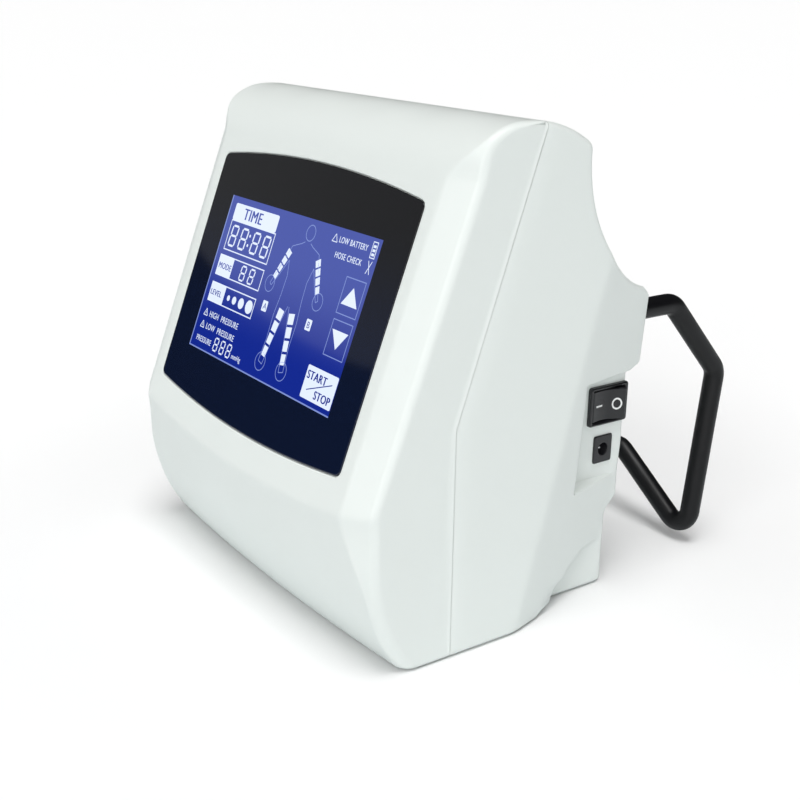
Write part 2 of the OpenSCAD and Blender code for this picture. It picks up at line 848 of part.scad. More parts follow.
// The rocker leans to its off side at rest.
module power_rocker() {
    rocker_l = switch_l - 5;
    rocker_h = switch_h - 4.4;
    sag = 26;
    color(black_colour) at_case() at_switch() translate([-4, 0, 0]) rotate([0, 0, -rocker_tilt])
        union() {
            intersection() {
                difference() {
                    translate([-5, -rocker_l / 2 + 0.2, -rocker_h / 2])
                        cube([13, rocker_l - 0.4, rocker_h]);
                    translate([sag + 5.6, 0, -50]) cylinder(r = sag, h = 100, $fn = 96);
                }
                translate([0, 0, -rocker_h / 2]) cylinder(r = rocker_l / 2 + 0.2, h = rocker_h);
            }
            translate([0, 0, -rocker_h / 2 - 1]) cylinder(r = 1.5, h = rocker_h + 2);
        }
}

module switch_terminals() {
    color(steel_colour) at_case() at_switch()
        for (y = [-7, 0, 7]) translate([-switch_deep - 8, y - 0.4, -2.4])
            cube([8 + 2.6, 0.8, 4.8]);
}

module at_jack() {
    translate([panel_half, jack_y, jack_z]) children();
}

module dc_jack() {
    color(black_colour) at_case() at_jack() difference() {
        union() {
            translate([0, -jack_l / 2, -jack_h / 2]) cube([1, jack_l, jack_h]);
            translate([-jack_deep, -jack_body_l / 2, -jack_body_h / 2])
                cube([jack_deep + 0.2, jack_body_l, jack_body_h]);
        }
        along_x(jack_bore_r, -jack_deep + 2.5, 2);
        along_x(jack_pin_r, -jack_deep - 1, 0);
    }
}

module dc_jack_pin() {
    color(steel_colour) at_case() at_jack() {
        along_x(jack_pin_r, -jack_deep - 3, -2.5);
        translate([-2.5, 0, 0]) sphere(r = jack_pin_r);
    }
}

// Spring clip that holds the inlet behind the panel.
module dc_jack_nut() {
    color(steel_colour) at_case() at_jack() difference() {
        translate([-wall - 1.2, -jack_l / 2 - 1.5, -jack_h / 2 - 1.5])
            cube([1.2, jack_l + 3, jack_h + 3]);
        translate([-wall - 2, -jack_body_l / 2, -jack_body_h / 2])
            cube([4, jack_body_l, jack_body_h]);
    }
}

// ---- Air outlets, in the left side panel ----

outlet_deep = 20;
outlet_bore_l = 12;
latch_face = 5;
latch_t = 1.6;
latch_w = 12;
latch_h = 15;
latch_r = outlet_r + latch_travel + 0.4;

module at_outlet(i) {
    translate([-panel_half, switch_y, outlet_z + outlet_gap * i]) mirror([1, 0, 0]) children();
}

module outlet_body(i) {
    color(black_colour) at_case() at_outlet(i) difference() {
        union() {
            translate([0, -outlet_flange / 2, -outlet_flange / 2])
                cube([latch_face, outlet_flange, outlet_flange]);
            along_x(7, -outlet_deep + 6, 0.5);
            along_x(hose_bore_r - run_gap, -outlet_deep - 4, -outlet_deep + 7);
            along_x(8.5, latch_face - 0.5, latch_face + 1.5);
        }
        along_x(outlet_r, latch_face + 1.5 - outlet_bore_l, latch_face + 3);
        along_x(1, -outlet_deep - 5, 0);
        translate([1.6, -latch_w / 2 - side_gap / 2, -latch_h / 2 - latch_travel - 0.4])
            cube([latch_t + 0.4, latch_w + side_gap, big]);
    }
}

module outlet_latch(i) {
    color(steel_colour) at_case() at_outlet(i) difference() {
        union() {
            translate([1.8, -latch_w / 2, -latch_h / 2])
                cube([latch_t, latch_w, latch_h / 2 + outlet_flange / 2 + 2]);
            translate([1.8, -latch_w / 2 + 1, outlet_flange / 2 + 1.6])
                cube([latch_t + 1.4, latch_w - 2, 1.2]);
        }
        along_x(latch_r, 0, 8);
    }
}

module outlet_nut(i) {
    color(steel_colour) at_case() at_outlet(i) difference() {
        along_x(9, -wall - 3, -wall, $fn = 12);
        along_x(7 + run_gap, -wall - 4, 1);
    }
}

// ---- Bed hook ----

module bed_hook() {
    color(black_colour) at_case() difference() {
        union() {
            bent_rod(hook_path, hook_bends, hook_r);
            both_sides() translate([arm_half, pivot_y, pivot_z])
                along_x(hook_r, -hook_r, hook_r);
        }
        both_sides() translate([0, pivot_y, pivot_z])
            along_x(pin_r + run_gap, arm_half - 3 * hook_r, arm_half + 3 * hook_r);
    }
}

module hook_pin() {
    color(steel_colour) at_case() translate([0, pivot_y, pivot_z]) {
        along_x(pin_r, pin_in - 1, pin_out);
        along_x(pin_r + 1.8, pin_in - 2, pin_in);
    }
}

module hook_pin_right() {
    hook_pin();
}

module hook_pin_left() {
    mirror([1, 0, 0]) hook_pin();
}

// Slip washers between each arm and the walls of its slot.
module hook_washers() {
    color([0.85, 0.85, 0.80]) at_case() both_sides() for (s = [-1, 1])
        translate([arm_half + s * (pocket_half - 0.35), pivot_y, pivot_z]) difference() {
            along_x(4.6, -0.3, 0.3);
            along_x(pin_r + run_gap, -1, 1);
        }
}

// ---- Air pump ----

module at_pump() {
    translate([pump_x, pump_y, pump_z]) children();
}

module pump_bracket() {
    plate_half = pump_r - 1;
    color(steel_colour) at_case() difference() {
        union() {
            translate([grommet_x[0] - 8, grommet_y[0] - 8, tray_top + grommet_h])
                cube([grommet_x[1] - grommet_x[0] + 16, grommet_y[1] - grommet_y[0] + 16, bracket_t]);
            at_pump() translate([-bracket_t, -plate_half, -pump_r - 2])
                cube([bracket_t, 2 * plate_half, 2 * pump_r]);
        }
        at_pump() along_x(5, -bracket_t - 1, 1);
        for (x = grommet_x, y = grommet_y)
            translate([x, y, 0]) cylinder(r = 2, h = 100);
    }
}

module pump_grommets() {
    color(rubber_colour) at_case() for (x = grommet_x, y = grommet_y)
        translate([x, y, tray_top]) {
            cylinder(r = 5, h = grommet_h);
            translate([0, 0, -tray_t]) cylinder(r = 1.9, h = grommet_h + tray_t + bracket_t);
            translate([0, 0, grommet_h + bracket_t]) cylinder(r1 = 3.6, r2 = 2.2, h = 2.5);
        }
}

module pump_motor() {
    color(steel_colour) at_case() at_pump() difference() {
        union() {
            along_x(motor_r, -bracket_t - motor_l, -bracket_t);
            along_x(6, -bracket_t - motor_l - 3, -bracket_t - motor_l + 1);
            along_x(4.8, -bracket_t - 1, 0);
        }
        along_x(1.5 + run_gap, -bracket_t - motor_l + 10, 1);
    }
}

// Motor shaft with the crank and its pin.
module pump_crank() {
    color(steel_colour) at_case() at_pump() {
        along_x(1.5, -bracket_t - motor_l + 10.5, 3);
        along_x(7, 1, 6);
        translate([0, crank_throw, 0]) along_x(2, 5, 14);
    }
}

module pump_housing() {
    color([0.25, 0.26, 0.28]) at_case() at_pump() difference() {
        along_x(pump_r, 0, pump_l - 10);
        along_x(pump_r - 3, 0.5, pump_l);
        along_x(5, -1, 2);
    }
}

// Rubber diaphragm with the plate that the crank pin rocks.
module pump_diaphragm() {
    color(rubber_colour) at_case() at_pump() difference() {
        union() {
            along_x(pump_r, pump_l - 10, pump_l - 8);
            along_x(pump_r - 6, 8, pump_l - 9);
        }
        along_x(2 + crank_throw + 0.6, 7, 15);
    }
}

module pump_head() {
    color([0.25, 0.26, 0.28]) at_case() at_pump() difference() {
        union() {
            along_x(pump_r, pump_l - 8, pump_l);
            along_x(hose_bore_r - run_gap, pump_l - 1, pump_l + 7);
        }
        along_x(0.8, pump_l - 4, pump_l + 10);
    }
}

// ---- Valves ----

module valve_manifold() {
    color([0.35, 0.36, 0.38]) at_case() difference() {
        union() {
            translate([manifold_x - manifold_w / 2, manifold_y, tray_top])
                cube([manifold_w, manifold_l, manifold_h]);
            translate([manifold_x, 0, tray_top + manifold_h / 2])
                along_y(hose_bore_r - run_gap, manifold_y - 6, manifold_y + 1);
            for (x = [-6, 6]) translate([manifold_x + x, 0, tray_top + manifold_h / 2])
                along_y(hose_bore_r - run_gap, manifold_y + manifold_l - 1, manifold_y + manifold_l + 5);
        }
        translate([manifold_x, 0, tray_top + manifold_h / 2]) along_y(0.8, 0, manifold_y + manifold_l - 4);
        for (i = [1:4]) translate([manifold_x, valve_y(i), tray_top + manifold_h / 2])
            cylinder(r = 1.2, h = manifold_h);
    }
}

module valve_coil(i) {
    color([0.10, 0.10, 0.11]) at_case() translate([manifold_x, valve_y(i), valve_base_z])
        difference() {
            union() {
                translate([-valve_w / 2, -valve_w / 2, 0]) cube([valve_w, valve_w, 2]);
                translate([-valve_w / 2, -valve_w / 2, valve_h - 2]) cube([valve_w, valve_w, 2]);
                translate([-valve_w / 2, -valve_w / 2 + 3, 0]) cube([1.6, valve_w - 6, valve_h]);
                cylinder(r = valve_w / 2 - 0.8, h = valve_h);
            }
            translate([0, 0, -1]) cylinder(r = plunger_r + run_gap, h = 17.2 + plunger_travel + 1);
        }
}

module valve_plunger(i) {
    color(steel_colour) at_case() translate([manifold_x, valve_y(i), valve_base_z])
        cylinder(r = plunger_r, h = 16.8);
}

// ---- Air hoses ----

module hose(p, b) {
    color(hose_colour) at_case() difference() {
        bent_rod(p, b, hose_r);
        bent_rod(p, b, hose_bore_r);
    }
}

port_z = tray_top + manifold_h / 2;
pump_port_x = pump_x + pump_l + 1;
hose_bend = 8;
riser_bend = 2 * hose_r;
// Distances of the two risers from the side panel.
riser_a = 2 * outlet_deep + 3;
riser_b = riser_a - 3 * hose_r;

module supply_hose() {
    run_x = pump_port_x + 10.5;
    hose([[pump_port_x, pump_y, pump_z], [run_x, pump_y, pump_z],
          [run_x, 12, pump_z], [run_x, 12, port_z],
          [manifold_x, 12 - 9, port_z], [manifold_x, manifold_y - 1, port_z]],
         [0, hose_bend, hose_bend, hose_bend, hose_bend, 0]);
}

// From a port on the manifold's end, up a riser at x1, to an outlet at height z.
function outlet_route(x0, x1, z) = [
    [x0, manifold_y + manifold_l + 1, port_z],
    [x0, manifold_y + manifold_l + 9, port_z],
    [x1, switch_y, port_z],
    [x1, switch_y, z],
    [-panel_half + outlet_deep + 0.5, switch_y, z]];

module outlet_hose_a() {
    hose(outlet_route(manifold_x + 6, riser_a - panel_half, outlet_z + outlet_gap),
         [0, riser_bend, riser_bend, riser_bend, 0]);
}

module outlet_hose_b() {
    hose(outlet_route(manifold_x - 6, riser_b - panel_half, outlet_z),
         [0, riser_bend, riser_bend, riser_bend, 0]);
}

// ---- Battery ----

module battery_pack() {
    cells = [-cell_r - 0.2, cell_r + 0.2];
    color([0.16, 0.30, 0.55]) at_case() translate([battery_x, battery_y, tray_top + 2 * cell_r + 0.2])
        union() {
            for (x = cells, z = cells)
                translate([x, 0, z]) along_y(cell_r, 0, battery_l);
            translate([-cell_r, 1, 0.5 - 2 * cell_r])
                cube([2 * cell_r, battery_l - 2, 4 * cell_r - 1]);
        }
}

module battery_clamp() {
    reach = 2 * cell_r + 1.2;
    top = 4 * cell_r + 0.6;
    strip = 1.2;
    color(steel_colour) at_case()
        translate([battery_x, battery_y + battery_l / 2, tray_top]) difference() {
            union() {
                translate([-reach - strip, -8, 0]) cube([2 * (reach + strip), 16, top + strip]);
                for (s = [-1, 1]) translate([s > 0 ? reach : -reach - 7, -8, 0]) cube([7, 16, strip]);
            }
            translate([-reach, -9, -1]) cube([2 * reach, 18, top + 1]);
            for (s = [-1, 1]) translate([s * (reach + 4), 0, -1]) cylinder(r = 1.6, h = 4);
        }
}

// ---- Main board ----

module main_board() {
    color(board_colour) at_case() difference() {
        translate([-board_w / 2, board_y, board_top - board_h]) cube([board_w, board_t, board_h]);
        for (p = board_posts) translate([p[0], 0, p[1]]) along_y(1.6, board_y - 1, board_y + 3);
    }
}

// A part on the board's front side: centre x, centre z, width, height, depth.
module board_part(x, z, w, h, t) {
    translate([x - w / 2, board_y - t, z - h / 2]) cube([w, t, h]);
}

module board_components() {
    mid = board_mid;
    chip = 18;
    color([0.12, 0.12, 0.13]) at_case() {
        board_part(-8, mid + 4, chip, chip, 1.8);
        board_part(26, mid + 8, 10, 7, 1.6);
        board_part(40, mid - 12, 14, 12, 9);
        board_part(-30, mid - 16, 22, 6, 7);
        board_part(-8, mid - cable_end_down, cable_w + 6, 6, board_plug_t);
        for (i = [0:3]) translate([56, 0, mid + 18 - 12 * i]) along_y(4, board_y - 11, board_y);
    }
}

module pressure_sensor() {
    mid = board_mid;
    color([0.85, 0.85, 0.82]) at_case() {
        board_part(-40, mid + 10, 12, 12, 6);
        translate([-40, 0, mid + 10]) along_y(1.5, board_y - 12, board_y - 5);
    }
}

module buzzer() {
    color(black_colour) at_case() translate([-56, 0, board_mid - 10])
        difference() {
            along_y(6, board_y - 8, board_y);
            along_y(1.2, board_y - 9, board_y - 5);
        }
}

module board_screws() {
    color(steel_colour) at_case() for (p = board_posts)
        translate([p[0], 0, p[1]]) {
            along_y(1.2 - run_gap, board_y - 1, board_y + board_t + 2.5);
            along_y(2.8, board_y - 1.8, board_y);
        }
}

cable_end_down = 22;
board_plug_t = 8;

// Flat cable from the display board to the main board.
module ribbon_cable() {
    deep = display_depth + board_t + plug_t + seat_gap;
    start_y = glass_y + deep * cos(face_tilt) - cable_down * sin(face_tilt);
    start_z = glass_z - deep * sin(face_tilt) - cable_down * cos(face_tilt);
    end_y = board_y - board_plug_t - seat_gap;
    end_z = board_mid - cable_end_down;
    run = (end_y - start_y) / 3;
    dip = 10;
    color(hose_colour) at_case() translate([-8, 0, 0]) across(cable_w, [
        [start_y, start_z], [start_y + run, start_z - dip], [start_y + 2 * run, end_z - dip / 2],
        [end_y, end_z - 0.5], [end_y, end_z + 0.5],
        [start_y + 2 * run - 0.4, end_z - dip / 2 + 1], [start_y + run - 0.4, start_z - dip + 1],
        [start_y, start_z + 1]]);
}

// ---- Shell screws ----

module case_screws() {
    color(steel_colour) at_case() for (x = [-case_screw_x, case_screw_x])
        translate([x, 0, case_screw_z]) difference() {
            union() {
                along_y(1.5 - run_gap, case_screw_join - 13, neck_y - 5.5);
                along_y(3, neck_y - 6, neck_y - 3.5);
            }
            translate([0, neck_y - 3.5, 0]) cube([0.8, 2, 3.4], center = true);
            translate([0, neck_y - 3.5, 0]) cube([3.4, 2, 0.8], center = true);
        }
}

front_shell();
rear_shell();
base_tray();
touch_glass();
glass_gasket();
lcd_panel();
backlight_unit();
display_board();
display_screws();
power_rocker();
switch_housing();
switch_terminals();
dc_jack();
dc_jack_pin();
dc_jack_nut();
outlet_body(1);  // outlet_body_a
outlet_body(0);  // outlet_body_b
outlet_latch(1);  // outlet_latch_a
outlet_latch(0);  // outlet_latch_b
outlet_nut(1);  // outlet_nut_a
outlet_nut(0);  // outlet_nut_b
bed_hook();
hook_pin_left();
hook_pin_right();
hook_washers();
pump_motor();
pump_crank();
pump_housing();
pump_diaphragm();
pump_head();
pump_bracket();
pump_grommets();
valve_manifold();
valve_coil(1);  // valve_coil_1
valve_coil(2);  // valve_coil_2
valve_coil(3);  // valve_coil_3
valve_coil(4);  // valve_coil_4
valve_plunger(1);  // valve_plunger_1
valve_plunger(2);  // valve_plunger_2
valve_plunger(3);  // valve_plunger_3
valve_plunger(4);  // valve_plunger_4
supply_hose();
outlet_hose_a();
outlet_hose_b();
battery_pack();
battery_clamp();
main_board();
board_components();
pressure_sensor();
buzzer();
board_screws();
ribbon_cable();
case_screws();
base_screws();
rubber_feet();
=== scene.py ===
"""Looks of a tabletop compression therapy pump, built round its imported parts.

Sizes are in millimetres in the casing's own frame, with Y = 0 at the front foot
line, until row() turns them into metres.
"""

import json
import math

import bpy
from mathutils import Matrix, Vector


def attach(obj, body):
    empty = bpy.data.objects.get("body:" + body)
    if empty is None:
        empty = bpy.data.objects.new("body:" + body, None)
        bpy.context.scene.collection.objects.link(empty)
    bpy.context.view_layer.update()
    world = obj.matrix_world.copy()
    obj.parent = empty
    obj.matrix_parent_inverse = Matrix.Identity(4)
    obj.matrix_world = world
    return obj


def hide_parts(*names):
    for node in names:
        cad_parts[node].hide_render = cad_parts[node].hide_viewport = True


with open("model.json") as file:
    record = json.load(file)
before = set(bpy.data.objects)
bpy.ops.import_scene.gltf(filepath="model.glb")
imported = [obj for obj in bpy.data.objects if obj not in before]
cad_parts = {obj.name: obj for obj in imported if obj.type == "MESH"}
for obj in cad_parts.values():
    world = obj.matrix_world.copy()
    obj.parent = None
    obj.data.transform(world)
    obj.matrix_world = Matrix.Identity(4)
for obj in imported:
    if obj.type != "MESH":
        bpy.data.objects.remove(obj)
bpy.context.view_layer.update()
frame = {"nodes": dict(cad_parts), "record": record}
nodes = frame["nodes"]

MID = 106.363  # from the casing's foot line to the row's origin
HALF = 115.0  # half the casing's width
LEAN = 0.37968  # the face's fall back for each millimetre up
LEAN_SIN, LEAN_COS = 0.355, 0.935  # the same lean along the face itself
FACE_Y, FACE_Z = -44.9, 17.05  # where v = 0 lies, with v measured up the face


def row(x, y, z):
    """Millimetres in the casing's frame to metres in the row's."""
    return (x / 1000, (y - MID) / 1000, z / 1000)


# ---------------------------------------------------------------- small maths


def step(a, b, t):
    """Runs smoothly from 0 at a to 1 at b."""
    t = min(1.0, max(0.0, (t - a) / (b - a)))
    return t * t * (3 - 2 * t)


def smax(a, b, k):
    """The larger of a and b, rounded over where they differ by less than k."""
    h = max(k - abs(a - b), 0.0) / k
    return max(a, b) + h * h * k / 4


def smin(a, b, k):
    return -smax(-a, -b, k)


def line(table, t):
    """Straight interpolation in a table of (t, value)."""
    if t <= table[0][0]:
        return table[0][1]
    for (t0, v0), (t1, v1) in zip(table, table[1:]):
        if t <= t1:
            return v0 + (v1 - v0) * (t - t0) / (t1 - t0)
    return table[-1][1]


def curve(table, t):
    """Smooth interpolation in a table of (t, value)."""
    n = len(table)
    t = min(max(t, table[0][0]), table[-1][0])
    i = 0
    while i < n - 2 and t > table[i + 1][0]:
        i += 1
    (t0, v0), (t1, v1) = table[i], table[i + 1]

    def slope(j):
        a, b = max(0, j - 1), min(n - 1, j + 1)
        return (table[b][1] - table[a][1]) / (table[b][0] - table[a][0])

    h = t1 - t0
    u = (t - t0) / h
    return (
        v0 * (1 + 2 * u) * (1 - u) ** 2
        + slope(i) * h * u * (1 - u) ** 2
        + v1 * u * u * (3 - 2 * u)
        - slope(i + 1) * h * u * u * (1 - u)
    )


def circle(cx, cy, r, n):
    """Evenly spaced points round a circle."""
    turns = [2 * math.pi * i / n for i in range(n)]
    return [(cx + r * math.cos(t), cy + r * math.sin(t)) for t in turns]


# ---------------------------------------------------------------- materials


def material(name, colour, rough, grain=0.0, grain_size=0.4, mottle=0.0, **more):
    """A principled material with fine grain (depth in mm, size in mm) and mottled gloss."""
    m = bpy.data.materials.new(name)
    m.use_nodes = True
    tree = m.node_tree
    p = tree.nodes["Principled BSDF"]
    p.inputs["Base Color"].default_value = (*colour, 1)
    p.inputs["Roughness"].default_value = rough
    for socket, value in more.items():
        p.inputs[socket.replace("_", " ")].default_value = value
    place = tree.nodes.new("ShaderNodeTexCoord")
    if grain:
        noise = tree.nodes.new("ShaderNodeTexNoise")
        noise.inputs["Scale"].default_value = 1000 / grain_size
        noise.inputs["Detail"].default_value = 3
        bump = tree.nodes.new("ShaderNodeBump")
        bump.inputs["Strength"].default_value = 1
        bump.inputs["Distance"].default_value = grain / 1000
        tree.links.new(place.outputs["Object"], noise.inputs["Vector"])
        tree.links.new(noise.outputs["Fac"], bump.inputs["Height"])
        tree.links.new(bump.outputs["Normal"], p.inputs["Normal"])
    if mottle:
        cloud = tree.nodes.new("ShaderNodeTexNoise")
        cloud.inputs["Scale"].default_value = 45
        cloud.inputs["Detail"].default_value = 5
        spread = tree.nodes.new("ShaderNodeMapRange")
        spread.inputs["From Min"].default_value = 0.3
        spread.inputs["From Max"].default_value = 0.7
        spread.inputs["To Min"].default_value = rough - mottle
        spread.inputs["To Max"].default_value = rough + mottle
        tree.links.new(place.outputs["Object"], cloud.inputs["Vector"])
        tree.links.new(cloud.outputs["Fac"], spread.inputs["Value"])
        tree.links.new(spread.outputs["Result"], p.inputs["Roughness"])
    return m


casing = material("casing_plastic", (0.755, 0.795, 0.77), 0.40, 0.012, 0.5, 0.05)
black = material("black_plastic", (0.012, 0.012, 0.014), 0.38, 0.01, 0.35, 0.06)
satin = material("switch_plastic", (0.010, 0.010, 0.012), 0.24, 0.003, 0.5, 0.04)
coating = material(
    "hook_coating", (0.004, 0.004, 0.005), 0.40, 0.02, 0.6, 0.06, Specular_IOR_Level=0.28
)
rubber = material("rubber_black", (0.02, 0.02, 0.022), 0.75, 0.03, 0.5)
glass = material("dark_glass", (0.004, 0.008, 0.026), 0.04, mottle=0.01, Specular_IOR_Level=0.42)


def fade_up(mat, socket, low, high, start=0.15, end=0.75):
    """Runs a colour socket from low to high up the height of the piece."""
    tree = mat.node_tree
    place = tree.nodes.new("ShaderNodeTexCoord")
    split = tree.nodes.new("ShaderNodeSeparateXYZ")
    ramp = tree.nodes.new("ShaderNodeValToRGB")
    ramp.color_ramp.elements[0].color = (*low, 1)
    ramp.color_ramp.elements[0].position = start
    ramp.color_ramp.elements[1].color = (*high, 1)
    ramp.color_ramp.elements[1].position = end
    ramp.color_ramp.interpolation = "EASE"
    tree.links.new(place.outputs["Generated"], split.inputs["Vector"])
    tree.links.new(split.outputs["Z"], ramp.inputs["Fac"])
    tree.links.new(ramp.outputs["Color"], tree.nodes["Principled BSDF"].inputs[socket])


# the glass is navy low down and neutral black higher up; the neutral top is painted reflection
fade_up(glass, "Base Color", (0.004, 0.008, 0.026), (0.006, 0.006, 0.007), 0.3, 0.9)
steel = material("plated_steel", (0.60, 0.61, 0.63), 0.28, 0.004, 0.3, 0.06, Metallic=1)
green = material("board_green", (0.02, 0.14, 0.07), 0.4, 0.01, 0.4)
milky = material("hose_milky", (0.68, 0.73, 0.76), 0.3, mottle=0.05)
pale = material("pale_plastic", (0.72, 0.72, 0.69), 0.45, 0.01, 0.4)
wrap = material("battery_wrap", (0.03, 0.09, 0.36), 0.3, mottle=0.06)
mark = material("mark_white", (0.78, 0.79, 0.78), 0.4)


def lit(name, colour, glow, top=None):
    """A picture colour behind glass, with its own light, running to top up the picture."""
    m = material(name, [c * 0.12 for c in colour], 0.05, Specular_IOR_Level=0.9)
    p = m.node_tree.nodes["Principled BSDF"]
    p.inputs["Emission Color"].default_value = (*colour, 1)
    p.inputs["Emission Strength"].default_value = glow
    if top:
        fade_up(m, "Emission Color", colour, top)
    return m


# the display's own blue glow, paler and whiter towards the top as a painted reflection haze
picture_blue = lit("picture_blue", (0.006, 0.020, 0.25), 1.0, top=(0.056, 0.084, 0.36))
picture_white = lit("picture_white", (0.72, 0.80, 0.95), 1.0)
picture_pale = lit("picture_pale", (0.20, 0.27, 0.60), 1.0)

by_slot = {
    "casing": casing,
    "touch_glass": glass,
    "display": picture_blue,
    "black_plastic": black,
    "hook_coating": coating,
    "rubber": rubber,
    "circuit_board": green,
    "hose": milky,
    "pale_plastic": pale,
    "battery_wrap": wrap,
    "steel": steel,
}
slot_of = {s["node"]: s["material_slot"] for s in frame["record"]["subparts"]}
for name, node in nodes.items():
    node.data.materials.clear()
    node.data.materials.append(by_slot[slot_of[name]])
for name in ("outlet_body_a", "outlet_body_b", "outlet_latch_a", "outlet_latch_b"):
    soft = nodes[name].modifiers.new("edges", "BEVEL")
    soft.width = 0.0005
    soft.segments = 3
    soft.limit_method = "ANGLE"
    soft.angle_limit = math.radians(40)


# ---------------------------------------------------------------- mesh helpers


def piece(name, verts, faces, mat, body="casing", stands=(), smooth=True):
    """A mesh on a body of the frame, in the place of the CAD nodes it stands for."""
    data = bpy.data.meshes.new(name)
    data.from_pydata([row(*v) for v in verts], [], faces)
    data.validate()
    data.materials.append(mat)
    if smooth:
        data.polygons.foreach_set("use_smooth", [True] * len(data.polygons))
    ob = bpy.data.objects.new(name, data)
    bpy.context.scene.collection.objects.link(ob)
    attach(ob, body)
    if stands:
        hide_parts(*stands)
    return ob


def weigh(ob):
    """Shades flat areas flat, and only the rounded edges round."""
    w = ob.modifiers.new("flat_shading_first", "WEIGHTED_NORMAL")
    w.mode = "FACE_AREA"
    w.weight = 60
    return ob


def sew(loops, close_first=False, close_last=False):
    """Faces between closed loops of equal length, with verts numbered loop after loop."""
    n = len(loops[0])
    verts = [p for loop in loops for p in loop]
    faces = []
    for k in range(len(loops) - 1):
        for i in range(n):
            j = (i + 1) % n
            faces.append((k * n + i, k * n + j, (k + 1) * n + j, (k + 1) * n + i))
    if close_first:
        faces.append(tuple(reversed(range(n))))
    if close_last:
        last = (len(loops) - 1) * n
        faces.append(tuple(range(last, last + n)))
    return verts, faces


def rounded_box(w, h, r, n=7):
    """An outline of 4 * n points round a w by h box with corner radius r, anticlockwise."""
    out = []
    for k, (sx, sy) in enumerate(((1, -1), (1, 1), (-1, 1), (-1, -1))):
        for i in range(n):
            a = math.radians(-90 + 90 * k + 90 * i / (n - 1))
            out.append(
                (
                    sx * (w / 2 - r) + r * math.cos(a),
                    sy * (h / 2 - r) + r * math.sin(a),
                )
            )
    return out


# ---------------------------------------------------------------- casing form

CHIN = [(0, 0.3), (3, -1.9), (7, -4.6), (12, -7.6), (18, -10.8), (26, -14.0)]
CHIN += [(36, -17.0), (50, -20.3), (60, -22.0), (70, -23.5), (80, -24.8), (110, -28)]


def face_y(z):
    """The leaning face, and the round that takes it over into the top."""
    if z <= 223.4:
        return -51.374 + LEAN * z
    return 64.0 - math.sqrt(max(0.0, 32.6**2 - (z - 211.8) ** 2))


def front_y(x, z):
    """The face with the chin's round below it, which falls back towards the sides."""
    if z > 112:
        return face_y(z)
    return smax(face_y(z), curve(CHIN, z) + 3.05 * (x / 92) ** 2, 1.3)


HEEL = [(1, 143.6), (1.6, 144.2), (2.4, 144.5), (38.6, 144.5), (39.6, 144.7)]
HEEL += [(40.6, 145.2), (42, 146.3), (44, 148.3), (46, 150.3), (47.2, 151.3)]
HEEL += [(48.4, 151.8), (50, 152), (116.9, 152), (117.1, 153.2), (117.4, 154.9)]
HEEL += [(117.8, 156.8), (118.3, 158.5), (118.9, 159.6), (119.7, 160.2), (120.6, 160.5)]
HEEL += [(153.5, 160.5), (154.7, 160.3), (155.8, 159.6), (156.8, 158.6), (157.7, 157.4)]
HEEL += [(159.0, 155.56), (160.4, 151.5)]
NECK_Y, NECK_R, NECK_TOP = 103.3, 71.5, 228.0
CROWN_Y, CROWN_R, TOP = 67.1, 62.0, 244.4


def back_y(z):
    """The back in the middle: wall, ledge, hollow neck and crown."""
    if z <= 160.4:
        return line(HEEL, z)
    if z <= NECK_TOP:
        return NECK_Y + NECK_R - math.sqrt(NECK_R**2 - (NECK_TOP - z) ** 2)
    if z <= 229.9:
        return NECK_Y
    if z <= 234.6:
        return 97.8 + math.sqrt(5.5**2 - (z - 229.9) ** 2)
    return CROWN_Y + math.sqrt(max(0.0, CROWN_R**2 - (z - TOP + CROWN_R) ** 2))


def joint_y(z):
    """The joint line between the two shells."""
    return 30.3 + max(0.0, z - 113.5) * 0.3482


def crease_y(z):
    """The crease where a flank starts to turn inwards."""
    return 118 + (z - 178) * 0.273


UNDER = [(40, -30), (66, -18.5), (84, -13.8), (95, -7), (104, 0.2), (107.5, 5.4)]
UNDER += [(114.4, 13.1), (121.6, 18.5), (127.5, 22.4), (139.4, 25), (152, 25.5)]
SINK_Y, SINK_LOW, SINK_HIGH = 110.0, 62.0, 119.0


def flank_x(y, z):
    """Half width of the casing, before its edges are rounded."""
    w = smin(HALF, HALF - 0.283 * (y - crease_y(z)), 0.9)
    if z < 75:
        w = smin(w, 97 + 1.06 * (z - curve(UNDER, y)), 1.6)
    w = smax(w, 97.0, 0.7)
    sunk = step(SINK_Y - 0.35, SINK_Y + 0.35, y)
    high = SINK_HIGH - 0.0489 * (y - SINK_Y)
    sunk *= step(SINK_LOW - 0.5, SINK_LOW + 0.5, z) - step(high - 0.35, high + 0.35, z)
    return w + (min(w, 98.0) - w) * sunk


BEVEL_W, BEVEL_DEEP = 15.5, 7.0
BEVEL_TURN = math.atan2(BEVEL_DEEP, BEVEL_W)
INNER_R, OUTER_R = 8.0, 5.0


def bevel_points():
    """(inset, depth) over the bevel beside the face, with its two creases rounded."""
    start = BEVEL_W + INNER_R * math.tan(BEVEL_TURN / 2)
    deep = BEVEL_DEEP + OUTER_R * math.tan(math.pi / 4 - BEVEL_TURN / 2)
    out = []
    for i in range(4):
        a = BEVEL_TURN * i / 3
        out.append((start - INNER_R * math.sin(a), INNER_R - INNER_R * math.cos(a)))
    out.append((BEVEL_W / 2, BEVEL_DEEP / 2))
    for i in range(11):
        a = BEVEL_TURN + (math.pi / 2 - BEVEL_TURN) * i / 10
        out.append((OUTER_R - OUTER_R * math.sin(a), deep - OUTER_R * math.cos(a)))
    return out


BEVEL = bevel_points()
M = len(BEVEL)


def edge(blend, r):
    """(inset, depth) across a front edge: a bevel at blend 1, a plain fillet at 0."""
    out = []
    for i, (inset, depth) in enumerate(BEVEL):
        a = math.radians(90 * i / (M - 1))
        out.append(
            (
                inset * blend + r * (1 - math.sin(a)) * (1 - blend),
                depth * blend + r * (1 - math.cos(a)) * (1 - blend),
            )
        )
    return out


def inset_at(e, depth):
    """An edge's inset at a depth."""
    return line([(d, i) for i, d in e], depth)


